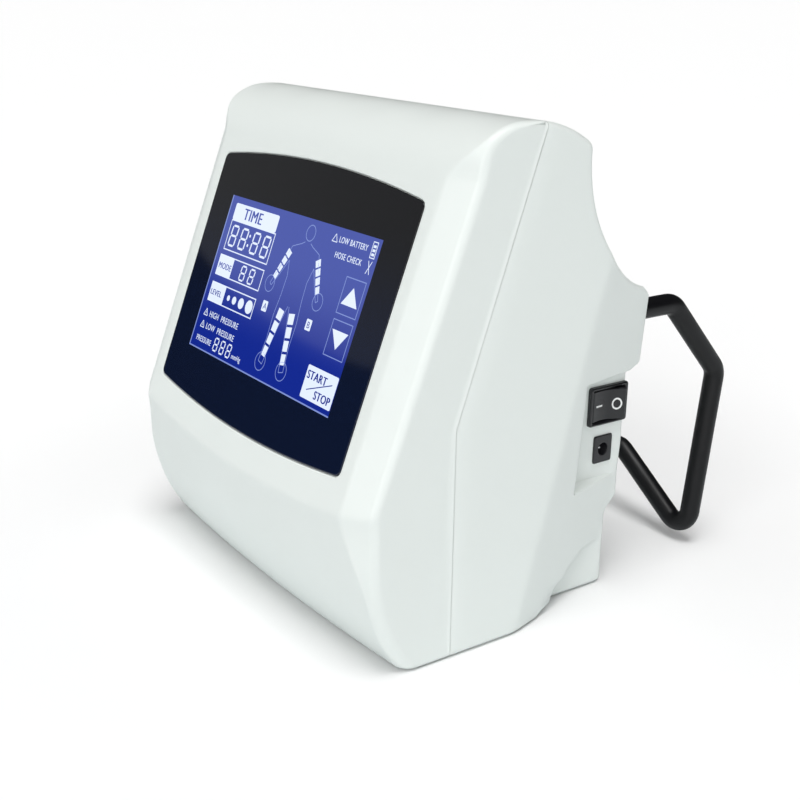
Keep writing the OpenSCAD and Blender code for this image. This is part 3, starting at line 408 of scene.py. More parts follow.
COLS = 20  # columns over half the face
OPEN_LOW, OPEN_HIGH = FACE_Z + LEAN_COS * 72, FACE_Z + LEAN_COS * 216
TOP_JOINT = 243.8  # the joint's height over the top
VENTS = [9.0 * i for i in range(6)]


def back_columns(reach):
    """X places across the back, from the edge of the flank to the middle."""
    xs = [94.9, 94.4, 94.1, 92.6, 91, 89.5, 88, 86.5, 85, 83.4, 81.9, 81.6, 81.1, 74, 66, 58]
    for v in reversed(VENTS):
        xs += [v + 1.75, v + 1.5, v + 1.25] + ([v - 1.25, v - 1.5, v - 1.75] if v else [])
    scale = min(1.0, (reach - 1.0) / 94.9)
    return [x * scale for x in xs] + [0.0]


def back_surface(x, z, y):
    """The back, with the hook's slots and the vent slots let into it."""
    slot = step(81.4, 81.8, x) * (1 - step(94.2, 94.6, x)) * step(137.3, 137.9, z)
    y = y + (min(y, 139.6) - y) * slot
    for v in VENTS:
        vent = 1 - step(1.3, 1.7, abs(x - v))
        vent *= step(65.6, 66.2, z) - step(103.8, 104.4, z)
        y -= 5 * vent
    return y


def ring(z):
    """Half a level section as (x, y) from the front's middle to the back's, and its joint."""
    bevel = step(38, 80, z) * (1 - step(219.6, 240, z))
    ef = edge(bevel, 6.0 + (4.0 - 6.0) * step(80, 200, z))
    eb = edge(0, 3.6)
    base = 0.9 * (1 - step(0.6, 2.6, z))
    yf, yb, yj = front_y(104, z), back_y(z), joint_y(z)
    gf = (front_y(104, z + 0.02) - front_y(104, z - 0.02)) / 0.04
    gb = (back_y(z - 0.02) - back_y(z + 0.02)) / 0.04
    if z < 228:
        gb = max(-2.0, min(2.0, gb))
    sf, sb = math.sqrt(1 + gf * gf), math.sqrt(1 + gb * gb)
    if z > TOP_JOINT:
        yj = yb
    yj = min(max(yj, yf + 0.5 * (min(yj, yb) - yf)), yb)

    def half(y):
        df, db = max(0, y - yf) / sf, max(0, yb - y) / sb
        return flank_x(y, z) - max(inset_at(ef, df), inset_at(eb, db)) - base

    pts = []
    reach = HALF - ef[0][0] - base
    scale = reach / (HALF - BEVEL[0][0])
    for i in range(COLS + 1):
        x = 94.5 * i / COLS * scale
        pts.append((x, front_y(x, z) + base))
    room = 0.9 * (yj - yf)
    for i, (inset, depth) in enumerate(ef):
        dy = min(depth * sf, room * (i + 0.5) / M)
        x = HALF - inset_at(ef, dy / sf) - base
        pts.append((x, front_y(x, z) + base * (1 - i / (M - 1)) + dy))
    ya = max(p[1] for p in pts)
    room_b = 0.9 * (yb - yj)
    back_edge = []
    for i, (inset, depth) in enumerate(reversed(eb)):
        dy = min(depth * sb, room_b * (1 - (i + 0.5) / M))
        back_edge.append((yb - dy, inset))
    yz = back_edge[0][0]
    gap = 0.22
    ys = [ya + (yj - gap - ya) * (i + 1) / 8 for i in range(7)]
    split = len(pts) + 7
    ys.append(yj - gap)
    ys.append(yj + gap)
    c = crease_y(z)
    c = max(yj + 11, c)
    r = max(SINK_Y, c + 9)
    marks = [c - 7, c - 4.5, c - 3, c - 1.5, c, c + 1.5, c + 3, c + 4.5, c + 7]
    lead = [yj + (c - 7 - yj) * t for t in (0.2, 0.4, 0.6, 0.8)]
    mid = [c + 7 + (r - 0.5 - c - 7) * t for t in (0.33, 0.66)]
    tail = [r - 0.5, r - 0.35, r - 0.12, r + 0.12, r + 0.35, r + 0.5]
    late = [r + 0.5 + (yz - r - 0.5) * t / 15 for t in range(1, 15)]
    rest = lead + marks + mid + tail + late
    n = len(rest)
    low = yj + gap
    for i, y in enumerate(rest):
        top = yz - 0.02 * (n - i)
        y = max(low + 0.004, min(y, max(top, low + 0.004)))
        low = y
        ys.append(y)
    for y in ys:
        pts.append((half(y), y))
    inner = flank_x(yb, z) - base
    for i, (y, inset) in enumerate(back_edge):
        y = max(y, low)
        pts.append((half(y) if i < M - 1 else inner - eb[0][0], min(y, yb)))
    reach_b = pts[-1][0]
    for x in back_columns(reach_b):
        pts.append((x, back_surface(x, z, yb)))
    return pts, split


def span(a, b, pitch):
    """Even steps of about pitch from a to b, without b."""
    n = max(1, round((b - a) / pitch))
    return [a + (b - a) * i / n for i in range(n)]


levels = [1.0, 1.3, 1.7, 2.2, 2.8]
levels += span(3.6, 38, 1.5) + span(38, 50, 0.75) + span(50, 61.2, 1.6)
levels += [61.2, 61.5, 61.7, 61.9, 62.1, 62.3, 62.5, 62.8, 63.6, 64.6]
levels += [65.5, 65.75, 66.1, 66.4] + span(67.4, OPEN_LOW, 1.0)
levels += span(OPEN_LOW, 103.6, 1.6) + [103.7, 104.0, 104.3, 104.6]
levels += span(106, 116, 1.6) + span(116, 120, 0.2) + [120, 120.6, 121.2, 122]
levels += [124, 127, 131, 134.5, 136.6, 137.2, 137.5, 137.8, 138.2, 140]
levels += span(143, 153, 2.5) + span(153, 162, 0.5) + span(162, 178, 1.2)
levels += span(178, OPEN_HIGH, 2.2) + span(OPEN_HIGH, 235.4, 1.0)
levels += [TOP - CROWN_R + math.sqrt(CROWN_R**2 - (31 - 2.0 * i) ** 2) for i in range(11)]
levels += [243.6, TOP_JOINT, 243.84, 243.92, 244.02, 244.12, 244.22, 244.30, 244.36, 244.39]

rings, joints = [], []
for z in levels:
    pts, split = ring(z)
    rings.append(pts)
    joints.append(split)
width = len(rings[0])
SPLIT = joints[0]
around = 2 * width - 2


def at_ring(k, i):
    """Vertex number of place i round level k, counted from the front's middle."""
    return k * around + i % around


shell_verts = []
for z, pts in zip(levels, rings):
    shell_verts += [(x, y, z) for x, y in pts]
    shell_verts += [(-x, y, z) for x, y in reversed(pts[1:-1])]

SWITCH = (138.0, 101.0)
INLET = (136.8, 77.3)
OUTLETS = [(138.0, 74.0), (138.0, 99.0)]


def covered(y0, y1, z0, z1, right_side):
    """Whether a patch of a side panel lies over an opening that a fitting covers."""

    def over(place, half_y, half_z):
        cy, cz = place
        return y1 > cy - half_y and y0 < cy + half_y and z1 > cz - half_z and z0 < cz + half_z

    if right_side:
        return over(SWITCH, 11.0, 8.3) or over(INLET, 3.5, 3.5)
    return any(over(place, 5, 5) for place in OUTLETS)


joint_row = levels.index(TOP_JOINT)


def nearest(z):
    """The number of the level nearest to z."""
    return min(range(len(levels)), key=lambda k: abs(levels[k] - z))


WELL_X, WELL_Z = 88.0, 206.0
well_low, well_high = nearest(WELL_Z - 6), nearest(WELL_Z + 6)
well_columns = [i for i in range(SPLIT + 1, width) if 81.85 < rings[well_low][i][0] < 94.15]
well_columns = [i for i in well_columns if rings[well_low][i][1] > back_y(levels[well_low]) - 1e-6]
well_first, well_last = well_columns[0], well_columns[-1]
open_low, open_high = nearest(OPEN_LOW), nearest(OPEN_HIGH)
front_faces, rear_faces = [], []
for k in range(len(levels) - 1):
    for i in range(around):
        m = i if i < width - 1 else around - 1 - i  # the same place on the right half
        face = (at_ring(k, i), at_ring(k, i + 1), at_ring(k + 1, i + 1), at_ring(k + 1, i))
        if m < COLS and open_low <= k < open_high:
            continue
        if k >= joint_row:
            if k > joint_row or m < SPLIT:
                front_faces.append(face)
        elif m < SPLIT:
            front_faces.append(face)
        elif m > SPLIT:
            (y0, y1), (z0, z1) = (rings[k][m][1], rings[k][m + 1][1]), (levels[k], levels[k + 1])
            if SINK_LOW < z0 < 113 and y0 > SINK_Y and covered(y0, y1, z0, z1, i == m):
                continue
            if well_low <= k < well_high and well_first <= m < well_last:
                continue
            rear_faces.append(face)
for k, flip in ((0, False), (len(levels) - 1, True)):
    for i in range(width - 1):
        if i == SPLIT and k == 0:
            continue
        a, b = at_ring(k, i), at_ring(k, i + 1)
        c, d = at_ring(k, around - i - 1), at_ring(k, around - i)
        face = [a, d, c, b] if not flip else [a, b, c, d]
        face = tuple(dict.fromkeys(face))
        if len(face) > 2:
            (front_faces if k or i < SPLIT else rear_faces).append(face)


def lip(chain, faces):
    """Turns the open edge of a shell inwards along the joint."""
    start = len(shell_verts)
    for v in chain:
        p = Vector(shell_verts[v])
        inward = Vector((0, p.y, 120)) - p
        shell_verts.append(tuple(p + inward.normalized() * 1.6))
    for i in range(len(chain) - 1):
        faces.append((chain[i], chain[i + 1], start + i + 1, start + i))


right = [at_ring(k, SPLIT) for k in range(joint_row + 1)]
left = [at_ring(k, around - SPLIT) for k in range(joint_row + 1)]
over = [at_ring(joint_row + 1, i) for i in range(SPLIT, around - SPLIT + 1)]
lip(right + over + left[::-1], front_faces)
right = [at_ring(k, SPLIT + 1) for k in range(joint_row + 1)]
left = [at_ring(k, around - SPLIT - 1) for k in range(joint_row + 1)]
over = [at_ring(joint_row, i) for i in range(SPLIT + 2, around - SPLIT - 1)]
lip(right + over + left[::-1], rear_faces)


# The glass's pocket in the face


def barrel(g, n=48):
    """Outline of the glass grown by g, as (x, v) on the face, anticlockwise from the bottom left."""
    half, low, high, big, r = 91 + g, 75.6 - g, 212.8 + g, 660.0, 3.6 + g
    xc = half - r
    tilt = math.asin(xc / (big - r))
    out = []
    for sign, base in ((1, low), (-1, high)):
        centre = base + sign * big
        cv = centre - sign * math.sqrt((big - r) ** 2 - xc * xc)
        part = []
        for i in range(n + 1):
            a = tilt * (2 * i / n - 1)
            part.append((big * math.sin(a), centre - sign * big * math.cos(a)))
        for i in range(1, 9):
            a = -math.pi / 2 + tilt + (math.pi / 2 - tilt) * i / 8
            part.append((xc + r * math.cos(a), cv + sign * r * math.sin(a)))
        head = [(-x, v) for x, v in part[n + 1 :]][::-1]
        part = head + part
        out += part if sign > 0 else part[::-1]
    return out


MIDDLE = (0.0, 144.2)


def ray(outline, x, v):
    """Where the line from the glass's middle through (x, v) meets an outline."""
    dx, dv = x - MIDDLE[0], v - MIDDLE[1]
    best = None
    n = len(outline)
    for i in range(n):
        ax, av = outline[i][0] - MIDDLE[0], outline[i][1] - MIDDLE[1]
        bx, bv = outline[(i + 1) % n][0] - MIDDLE[0], outline[(i + 1) % n][1] - MIDDLE[1]
        ex, ev = bx - ax, bv - av
        den = dx * ev - dv * ex
        if abs(den) < 1e-9:
            continue
        t = (ax * ev - av * ex) / den
        u = (ax * dv - av * dx) / den
        if t > 0 and -1e-6 <= u <= 1 + 1e-6 and (best is None or t < best):
            best = t
    return MIDDLE[0] + dx * best, MIDDLE[1] + dv * best


def on_face(x, v, lift=0.0):
    """A point x across and v up the face, lifted out of it."""
    return (x, FACE_Y + LEAN_SIN * v - LEAN_COS * lift, FACE_Z + LEAN_COS * v + LEAN_SIN * lift)


loop = [at_ring(open_low, i) for i in range(-COLS, COLS + 1)]
loop += [at_ring(k, COLS) for k in range(open_low + 1, open_high)]
loop += [at_ring(open_high, i) for i in range(COLS, -COLS - 1, -1)]
loop += [at_ring(k, -COLS) for k in range(open_high - 1, open_low, -1)]
on_loop = [(shell_verts[v][0], (shell_verts[v][2] - FACE_Z) / LEAN_COS) for v in loop]
previous = loop
for g, deep in ((2.4, 0), (1.15, 0), (0.85, 0.05), (0.6, 0.2), (0.45, 0.45), (0.4, 1.6)):
    outline = barrel(g)
    start = len(shell_verts)
    for x, v in on_loop:
        shell_verts.append(on_face(*ray(outline, x, v), -deep))
    now = list(range(start, start + len(loop)))
    for i in range(len(loop)):
        j = (i + 1) % len(loop)
        front_faces.append((previous[i], previous[j], now[j], now[i]))
    previous = now
front_faces.append(tuple(previous))


def part_of_shell(name, faces, stands):
    """One shell, with only the vertices its own faces use."""
    used = sorted({v for f in faces for v in f})
    number = {v: i for i, v in enumerate(used)}
    ob = piece(
        name,
        [shell_verts[v] for v in used],
        [[number[v] for v in f] for f in faces],
        casing,
        stands=stands,
    )
    return weigh(ob)


def screw_well(side):
    """A round well in the back, with a screw at its foot, on side 1 or -1."""
    columns = [i if side > 0 else around - i for i in range(well_first, well_last + 1)]
    loop = [at_ring(well_low, i) for i in columns]
    loop += [at_ring(k, columns[-1]) for k in range(well_low + 1, well_high)]
    loop += [at_ring(well_high, i) for i in reversed(columns)]
    loop += [at_ring(k, columns[0]) for k in range(well_high - 1, well_low, -1)]
    turns = []
    for v in loop:
        x, y, z = shell_verts[v]
        turns.append(math.atan2(z - WELL_Z, x - side * WELL_X))
    last = loop
    for radius, deep in ((4.4, 0), (3.8, 0), (3.55, 0.12), (3.4, 0.5), (3.4, 9.0), (1.7, 9.0)):
        start = len(shell_verts)
        for a in turns:
            x, z = side * WELL_X + radius * math.cos(a), WELL_Z + radius * math.sin(a)
            y = back_y(z) - deep if deep < 5 else back_y(WELL_Z) - deep
            shell_verts.append((x, y, z))
        now = list(range(start, start + len(loop)))
        for i in range(len(loop)):
            j = (i + 1) % len(loop)
            quad = (last[i], last[j], now[j], now[i])
            rear_faces.append(quad if side > 0 else quad[::-1])
        last = now


screw_well(1)
screw_well(-1)
part_of_shell("front_casing", front_faces, ["front_shell"])
part_of_shell("rear_casing", rear_faces, ["rear_shell"])


# ---------------------------------------------------------------- glass and picture

loops = []
for g, lift in ((0, -1.5), (0, -0.3), (-0.08, -0.12), (-0.3, 0.0), (-0.6, 0.04)):
    loops.append([on_face(x, v, lift) for x, v in barrel(g)])
verts, faces = sew(loops, close_last=True)
weigh(piece("touch_glass_plate", verts, faces, glass, stands=["touch_glass"]))

drawn = {}


def patch(outline, mat, level):
    """A flat coloured patch of the picture."""
    verts, faces = drawn.setdefault((mat.name, level), ([], []))
    faces.append(list(range(len(verts), len(verts) + len(outline))))
    verts += [on_face(x, v, 0.05 + 0.02 * level) for x, v in outline]


def box_patch(x0, v0, x1, v1, mat, level, r=0.0):
    if r:
        w, h = x1 - x0, v1 - v0
        cx, cv = (x0 + x1) / 2, (v0 + v1) / 2
        patch([(cx + a, cv + b) for a, b in rounded_box(w, h, r, 5)], mat, level)
    else:
        patch([(x0, v0), (x1, v0), (x1, v1), (x0, v1)], mat, level)


def frame_patch(x0, v0, x1, v1, t, mat, level):
    box_patch(x0, v0, x1, v0 + t, mat, level)
    box_patch(x0, v1 - t, x1, v1, mat, level)
    box_patch(x0, v0 + t, x0 + t, v1 - t, mat, level)
    box_patch(x1 - t, v0 + t, x1, v1 - t, mat, level)


def disc_patch(x, v, r, mat, level, n=28):
    patch(circle(x, v, r, n), mat, level)


def stroke(points, t, mat, level, closed=False):
    """A thin line of width t through points."""
    n = len(points)
    last = n if closed else n - 1
    for i in range(last):
        (x0, v0), (x1, v1) = points[i], points[(i + 1) % n]
        length = math.hypot(x1 - x0, v1 - v0)
        if length < 1e-6:
            continue
        nx, nv = -(v1 - v0) / length * t / 2, (x1 - x0) / length * t / 2
        patch([(x0 - nx, v0 - nv), (x1 - nx, v1 - nv), (x1 + nx, v1 + nv), (x0 + nx, v0 + nv)], mat, level)


def ring_patch(x, v, r, t, mat, level, n=30):
    stroke(circle(x, v, r, n), t, mat, level, True)


def digit(x, v, w, h, mat, level, t=1.1, slant=0.08):
    """A figure 8 of seven bars with its lower left corner at (x, v)."""

    def p(a, b):
        return (x + a * w + slant * b * h, v + b * h)

    q = t / 2
    corners = [p(0, 1), p(1, 1), p(1, 0.5), p(1, 0), p(0, 0), p(0, 0.5)]
    bars = list(zip(corners, corners[1:] + corners[:1])) + [(p(0, 0.5), p(1, 0.5))]
    for (x0, v0), (x1, v1) in bars:
        length = math.hypot(x1 - x0, v1 - v0)
        ux, uv = (x1 - x0) / length, (v1 - v0) / length
        nx, nv = -uv * q, ux * q
        gap = 0.18
        a0, a1 = (x0 + ux * gap, v0 + uv * gap), (x1 - ux * gap, v1 - uv * gap)
        patch(
            [
                a0,
                (a0[0] + ux * q - nx, a0[1] + uv * q - nv),
                (a1[0] - ux * q - nx, a1[1] - uv * q - nv),
                a1,
                (a1[0] - ux * q + nx, a1[1] - uv * q + nv),
                (a0[0] + ux * q + nx, a0[1] + uv * q + nv),
            ],
            mat,
            level,
        )


words_made = 0


def words(text, x, v, size, mat, level, wide=1.0, bold=0.1):
    """Plain words with their lower left corner at (x, v), size mm tall, bold mm bolder."""
    global words_made
    words_made += 1
    font = bpy.data.curves.new(f"words_{words_made}", "FONT")
    font.body = text
    font.size = 1.0
    font.space_character = 1.08
    font.resolution_u = 3
    holder = bpy.data.objects.new("words_holder", font)
    bpy.context.scene.collection.objects.link(holder)
    bpy.context.view_layer.update()
    ready = holder.evaluated_get(bpy.context.evaluated_depsgraph_get())
    flat = bpy.data.meshes.new_from_object(ready)
    bpy.data.objects.remove(holder)
    k = size / 0.70  # a capital is 0.70 of the font's size
    verts, faces = drawn.setdefault((mat.name, level), ([], []))
    for shift in (0.0, bold / 2, bold):
        base = len(verts)
        lift = 0.05 + 0.02 * level + 0.05 * shift
        for p in flat.vertices:
            verts.append(on_face(x + shift + p.co.x * k * wide, v + p.co.y * k, lift))
        faces += [[base + i for i in f.vertices] for f in flat.polygons]
    bpy.data.meshes.remove(flat)


W, B, S = picture_white, picture_blue, picture_pale
box_patch(-70.5, 103, 70.5, 186, B, 0)
box_patch(-70.5, 103, -69.6, 186, S, 1)
box_patch(-70.5, 103, 70.5, 103.7, S, 1)

# left column: time, mode and level
box_patch(-64.5, 173.7, -19, 182.6, W, 1, 1.2)
words("TIME", -54.2, 175.2, 6.0, B, 2, bold=0.62)
frame_patch(-64.5, 157.3, -18, 173.7, 0.6, W, 1)
for x in (-61.5, -50.9, -38.2, -27.6):
    digit(x, 160.2, 6.0, 10.6, W, 1)
for v in (163.2, 168.2):
    disc_patch(-41.6, v, 0.8, W, 1, 12)
frame_patch(-65.5, 143.4, -18.3, 154.6, 0.6, W, 1)
box_patch(-65.5, 143.4, -49.8, 154.6, W, 1, 0.8)
words("MODE", -64.4, 147.3, 3.2, B, 2, bold=0.3)
for x in (-40.5, -31.5):
    digit(x, 145.2, 4.6, 7.4, W, 1, t=0.9)
frame_patch(-65.5, 129, -17.8, 139.6, 0.6, W, 1)
box_patch(-65.5, 129, -49.6, 139.6, W, 1, 0.8)
words("LEVEL", -64.6, 132.8, 3.0, B, 2, bold=0.3)
for i, (x, r) in enumerate(((-44.6, 1.5), (-38.4, 2.1), (-31, 2.8), (-22.6, 3.5))):
    disc_patch(x, 134.3, r, W, 1)
for v, text in ((121.2, "HIGH  PRESSURE"), (114.6, "LOW  PRESSURE")):
    stroke([(-64.8, v), (-62.7, v + 3.6), (-60.6, v)], 0.45, W, 1, True)
    stroke([(-62.7, v + 0.8), (-62.7, v + 2.2)], 0.45, W, 1)
    words(text, -58.8, v, 3.2, W, 1, 0.88)
words("PRESSURE", -65.2, 107.2, 3.0, W, 1, 0.84)
for x in (-45.4, -38.4, -31.4):
    digit(x, 106.0, 3.9, 6.6, W, 1, t=0.8)
words("mmHg", -25.2, 106.6, 2.6, W, 1, 0.9)

# middle: a plain figure of a person with sleeves on its limbs
cx = 12.6
ring_patch(cx, 179.2, 3.9, 0.45, S, 1)
body_line = [(2.6, 174.4), (5.2, 173.1), (9.4, 171.7), (12.4, 170.6), (14.2, 166.4)]
body_line += [(18.8, 157.2), (22.6, 150.0), (21.0, 149.0), (16.4, 155.8), (11.4, 163.6)]
body_line += [(9.2, 156.0), (9.6, 147.0), (11.0, 136.0), (10.6, 124.0), (12.0, 112.2)]
body_line += [(8.2, 111.2), (6.0, 122.0), (3.2, 134.0), (0.6, 142.4)]
stroke([(cx + a, v) for a, v in body_line], 0.4, S, 1)
stroke([(cx - a, v) for a, v in body_line], 0.4, S, 1)


def sleeve(x0, v0, x1, v1, w0, w1, parts):
    """Bars along a limb, w0 half wide at its start and w1 at its end."""
    length = math.hypot(x1 - x0, v1 - v0)
    ux, uv = (x1 - x0) / length, (v1 - v0) / length
    for i in range(parts):
        a, b = i / parts + 0.02, (i + 1) / parts - 0.03
        wa, wb = w0 + (w1 - w0) * a, w0 + (w1 - w0) * b
        pa = (x0 + (x1 - x0) * a, v0 + (v1 - v0) * a)
        pb = (x0 + (x1 - x0) * b, v0 + (v1 - v0) * b)
        patch(
            [
                (pa[0] + uv * wa, pa[1] - ux * wa),
                (pa[0] - uv * wa, pa[1] + ux * wa),
                (pb[0] - uv * wb, pb[1] + ux * wb),
                (pb[0] + uv * wb, pb[1] - ux * wb),
            ][::-1],
            W,
            1,
        )


for s in (-1, 1):
    sleeve(cx + s * 12.8, 168.6, cx + s * 20.6, 152.6, 2.1, 1.5, 4)
    sleeve(cx + s * 4.8, 140.4, cx + s * 9.4, 114.4, 2.6, 1.7, 4)
    ring_patch(cx + s * 22.6, 149.6, 4.2, 0.4, S, 1)
    ring_patch(cx + s * 10.2, 112.2, 4.6, 0.4, S, 1)
    box_patch(cx + s * 21 - 2.4, 135.4, cx + s * 21 + 2.4, 140.8, W, 1, 0.6)
    words("A" if s < 0 else "B", cx + s * 21 - 1.35, 136.5, 3.2, B, 2)

# right column: status, two arrow keys and the start key
words("LOW BATTERY", 37.2, 179.2, 2.9, W, 1, 0.80)
stroke([(31.6, 178.9), (33.8, 182.6), (36.0, 178.9)], 0.4, W, 1, True)
words("HOSE CHECK", 37.2, 172.0, 2.9, W, 1, 0.84)
frame_patch(64.0, 176.6, 68.0, 184.4, 0.45, W, 1)
for v in (177.8, 179.7, 181.6):
    box_patch(64.9, v, 67.1, v + 1.2, W, 1)
stroke([(64.6, 169.4), (66.0, 172.4), (67.4, 169.4)], 0.45, W, 1)
stroke([(64.6, 175.4), (66.0, 172.4), (67.4, 175.4)], 0.45, W, 1)
for v0, up in ((148.4, 1), (128.4, -1)):
    frame_patch(51.8, v0, 68.2, v0 + 17.4, 0.45, S, 1)
    m = v0 + 8.7
    patch([(60, m + up * 4.6), (60 - 6.6 * up, m - up * 4.0), (60 + 6.6 * up, m - up * 4.0)], W, 1)
box_patch(43.8, 106.0, 70.0, 121.6, W, 1, 0.8)
stroke([(47.5, 110.2), (66.5, 117.2)], 0.5, B, 2)
words("START", 44.6, 115.4, 4.0, B, 2, 0.95, bold=0.50)
words("STOP", 54.4, 107.6, 4.0, B, 2, 0.95, bold=0.50)

stood = False
for (mat_name, level), (verts, faces) in sorted(drawn.items()):
    ob = piece(
        f"{mat_name}_{level}",
        verts,
        faces,
        bpy.data.materials[mat_name],
        stands=() if stood else ["lcd_panel"],
        smooth=False,
    )
    stood = True


# ---------------------------------------------------------------- power side


def ease(outline, dx):
    """An outline of (y, z) shrunk by dx towards its own middle."""
    ys, zs = [p[0] for p in outline], [p[1] for p in outline]
    cy, cz = (min(ys) + max(ys)) / 2, (min(zs) + max(zs)) / 2
    hy, hz = (max(ys) - min(ys)) / 2, (max(zs) - min(zs)) / 2
    return [(cy + (y - cy) * (hy - dx) / hy, cz + (z - cz) * (hz - dx) / hz) for y, z in outline]


SW_Y, SW_Z = SWITCH
outer = [(SW_Y + a, SW_Z + b) for a, b in rounded_box(25.4, 20.4, 1.4)]
inner = [(SW_Y + a, SW_Z + b) for a, b in rounded_box(20.9, 16.7, 0.7)]
loops = []
for shrink, x in ((0, 97.2), (0, 99.4), (0.15, 99.8), (0.5, 100.1), (0.9, 100.15)):
    loops.append([(x, y, z) for y, z in ease(outer, shrink)])
for grow, x in ((0.9, 100.1), (0.35, 99.9), (0.1, 99.5), (0, 98.8), (0, 88.0)):
    loops.append([(x, y, z) for y, z in ease(inner, -grow)])
verts, faces = sew(loops, close_last=True)
weigh(piece("switch_frame", verts, faces, satin, stands=["switch_housing"]))

TILT = math.radians(-9)  # the rocker at rest, switched to its rear half
PIVOT = (94.0, SW_Y)


def tilted(a, b, z):
    """A point of the rocker, a outwards and b rearwards of its pivot."""
    return (
        PIVOT[0] + a * math.cos(TILT) - b * math.sin(TILT),
        PIVOT[1] + a * math.sin(TILT) + b * math.cos(TILT),
        z,
    )


def rocker_top(b):
    """How far the rocker's hollow face stands out at b along it."""
    return 5.4 + 2.35 * (abs(b) / 9.9) ** 1.6


top = [9.9 * (i / 14 - 1) for i in range(29)]
section = [(rocker_top(b) - (0.35 if abs(b) > 9.8 else 0), b) for b in top]
section += [(5.0, 10.0), (0.0, 9.9), (-4.5, 7.6), (-4.5, -7.6), (0.0, -9.9), (5.0, -10.0)]
loops = []
for z, shrink in ((-8, 0.35), (-7.85, 0.12), (-7.5, 0), (7.5, 0), (7.85, 0.12), (8, 0.35)):
    shrunk = [(a - (shrink if a > 5 else 0), b * (1 - shrink / 12)) for a, b in section]
    loops.append([tilted(a, b, SW_Z + z) for a, b in shrunk])
verts, faces = sew(loops, close_first=True, close_last=True)
cap = piece(
    "rocker_cap", verts, faces, satin, body="rocker", stands=["power_rocker"]
)
weigh(cap)

verts, faces = [], []


def on_rocker(points):
    """A white patch that lies on the rocker's hollow face."""
    start = len(verts)
    for b, z in points:
        verts.append(tilted(rocker_top(b) + 0.06, b, SW_Z + z))
    faces.append(list(range(start, start + len(points))))


for i in range(6):
    b0, b1 = -7.4 + i * 0.7, -6.7 + i * 0.7
    on_rocker([(b0, -0.45), (b1, -0.45), (b1, 0.45), (b0, 0.45)])
RING_B = 5.3  # the ring mark's place along the rocker
for i in range(32):
    a0, a1 = 2 * math.pi * i / 32, 2 * math.pi * (i + 1) / 32
    on_rocker(
        [
            (RING_B + 2.7 * math.cos(a0), 3.1 * math.sin(a0)),
            (RING_B + 2.7 * math.cos(a1), 3.1 * math.sin(a1)),
            (RING_B + 1.9 * math.cos(a1), 2.2 * math.sin(a1)),
            (RING_B + 1.9 * math.cos(a0), 2.2 * math.sin(a0)),
        ]
    )
piece("rocker_marks", verts, faces, mark, body="rocker")

JK_Y, JK_Z = INLET
TURNS = [2 * math.pi * i / 56 for i in range(56)]


def box_at(turn, w, h, r):
    """The point of a rounded box's outline in the direction of an angle."""
    c, s = math.cos(turn), math.sin(turn)
    t = min(w / 2 / max(abs(c), 1e-9), h / 2 / max(abs(s), 1e-9))
    ox, oy = w / 2 - r, h / 2 - r
    if abs(t * c) > ox and abs(t * s) > oy:
        along = abs(c) * ox + abs(s) * oy
        t = along + math.sqrt(along**2 - ox**2 - oy**2 + r**2)
    return t * c, t * s


loops = []
for shrink, x in ((0, 97.3), (0, 98.6), (0.12, 98.85), (0.4, 99.0)):
    outline = [box_at(t, 12.2 - 2 * shrink, 14.6 - 2 * shrink, 0.9) for t in TURNS]
    loops.append([(x, JK_Y + a, JK_Z + b) for a, b in outline])
for r, x in ((3.8, 99.0), (3.5, 98.95), (3.28, 98.8), (3.2, 98.5), (3.2, 88.6)):
    loops.append([(x, y, z) for y, z in circle(JK_Y, JK_Z, r, len(TURNS))])
verts, faces = sew(loops, close_last=True)
weigh(piece("inlet_face", verts, faces, satin, stands=["dc_jack"]))
loops = []
for r, x in ((1.0, 88.4), (1.0, 95.9), (0.9, 96.3), (0.6, 96.55), (0.2, 96.65)):
    loops.append([(x, y, z) for y, z in circle(JK_Y, JK_Z, r, 20)])
verts, faces = sew(loops, close_last=True)
weigh(piece("inlet_pin", verts, faces, steel, stands=["dc_jack_pin"]))


# ---------------------------------------------------------------- bed hook

TUBE = 5.4  # the tube's radius
ARM_X, PIVOT_Y, PIVOT_Z = 88, 147, 143.3
ELBOW_Y, ELBOW_Z = 229.2, 100.9
TOE_Y, TOE_Z, RISE = 218.2, 2.7, math.tan(math.radians(31.8))
BAR_Z = TOE_Z + 58 * RISE
BAR_Y = TOE_Y + (BAR_Z - TOE_Z) * (ELBOW_Y - TOE_Y) / (ELBOW_Z - TOE_Z)
half_path = [(ARM_X, PIVOT_Y, PIVOT_Z), (ARM_X, 190.5, PIVOT_Z), (ARM_X, ELBOW_Y, ELBOW_Z)]
half_path += [(ARM_X, TOE_Y, TOE_Z), (30, BAR_Y, BAR_Z)]
path = [Vector(p) for p in half_path] + [Vector((-x, y, z)) for x, y, z in reversed(half_path)]
bends = [0, 10.5, 10.5, 9, 10.5, 10.5, 9, 10.5, 10.5, 0]
centres = [path[0]]
for i in range(1, len(path) - 1):
    u, w = (path[i] - path[i - 1]).normalized(), (path[i + 1] - path[i]).normalized()
    turn = u.angle(w)
    reach = bends[i] * math.tan(turn / 2)
    first = path[i] - u * reach
    centre = path[i] + (w - u).normalized() * bends[i] / math.cos(turn / 2)
    axis = u.cross(w).normalized()
    previous_point = centres[-1]
    for j in range(1, 4):
        centres.append(previous_point.lerp(first, j / 4))
    for j in range(15):
        centres.append(centre + Matrix.Rotation(turn * j / 14, 3, axis) @ (first - centre))
centres.append(path[-1])
loops = []
side = Vector((1, 0, 0))
for i, c in enumerate(centres):
    ahead = (centres[min(i + 1, len(centres) - 1)] - centres[max(i - 1, 0)]).normalized()
    side = (side - ahead * side.dot(ahead)).normalized()
    up = ahead.cross(side)
    loops.append([tuple(c + side * a + up * b) for a, b in circle(0, 0, TUBE, 36)])
verts, faces = sew(loops, True, True)
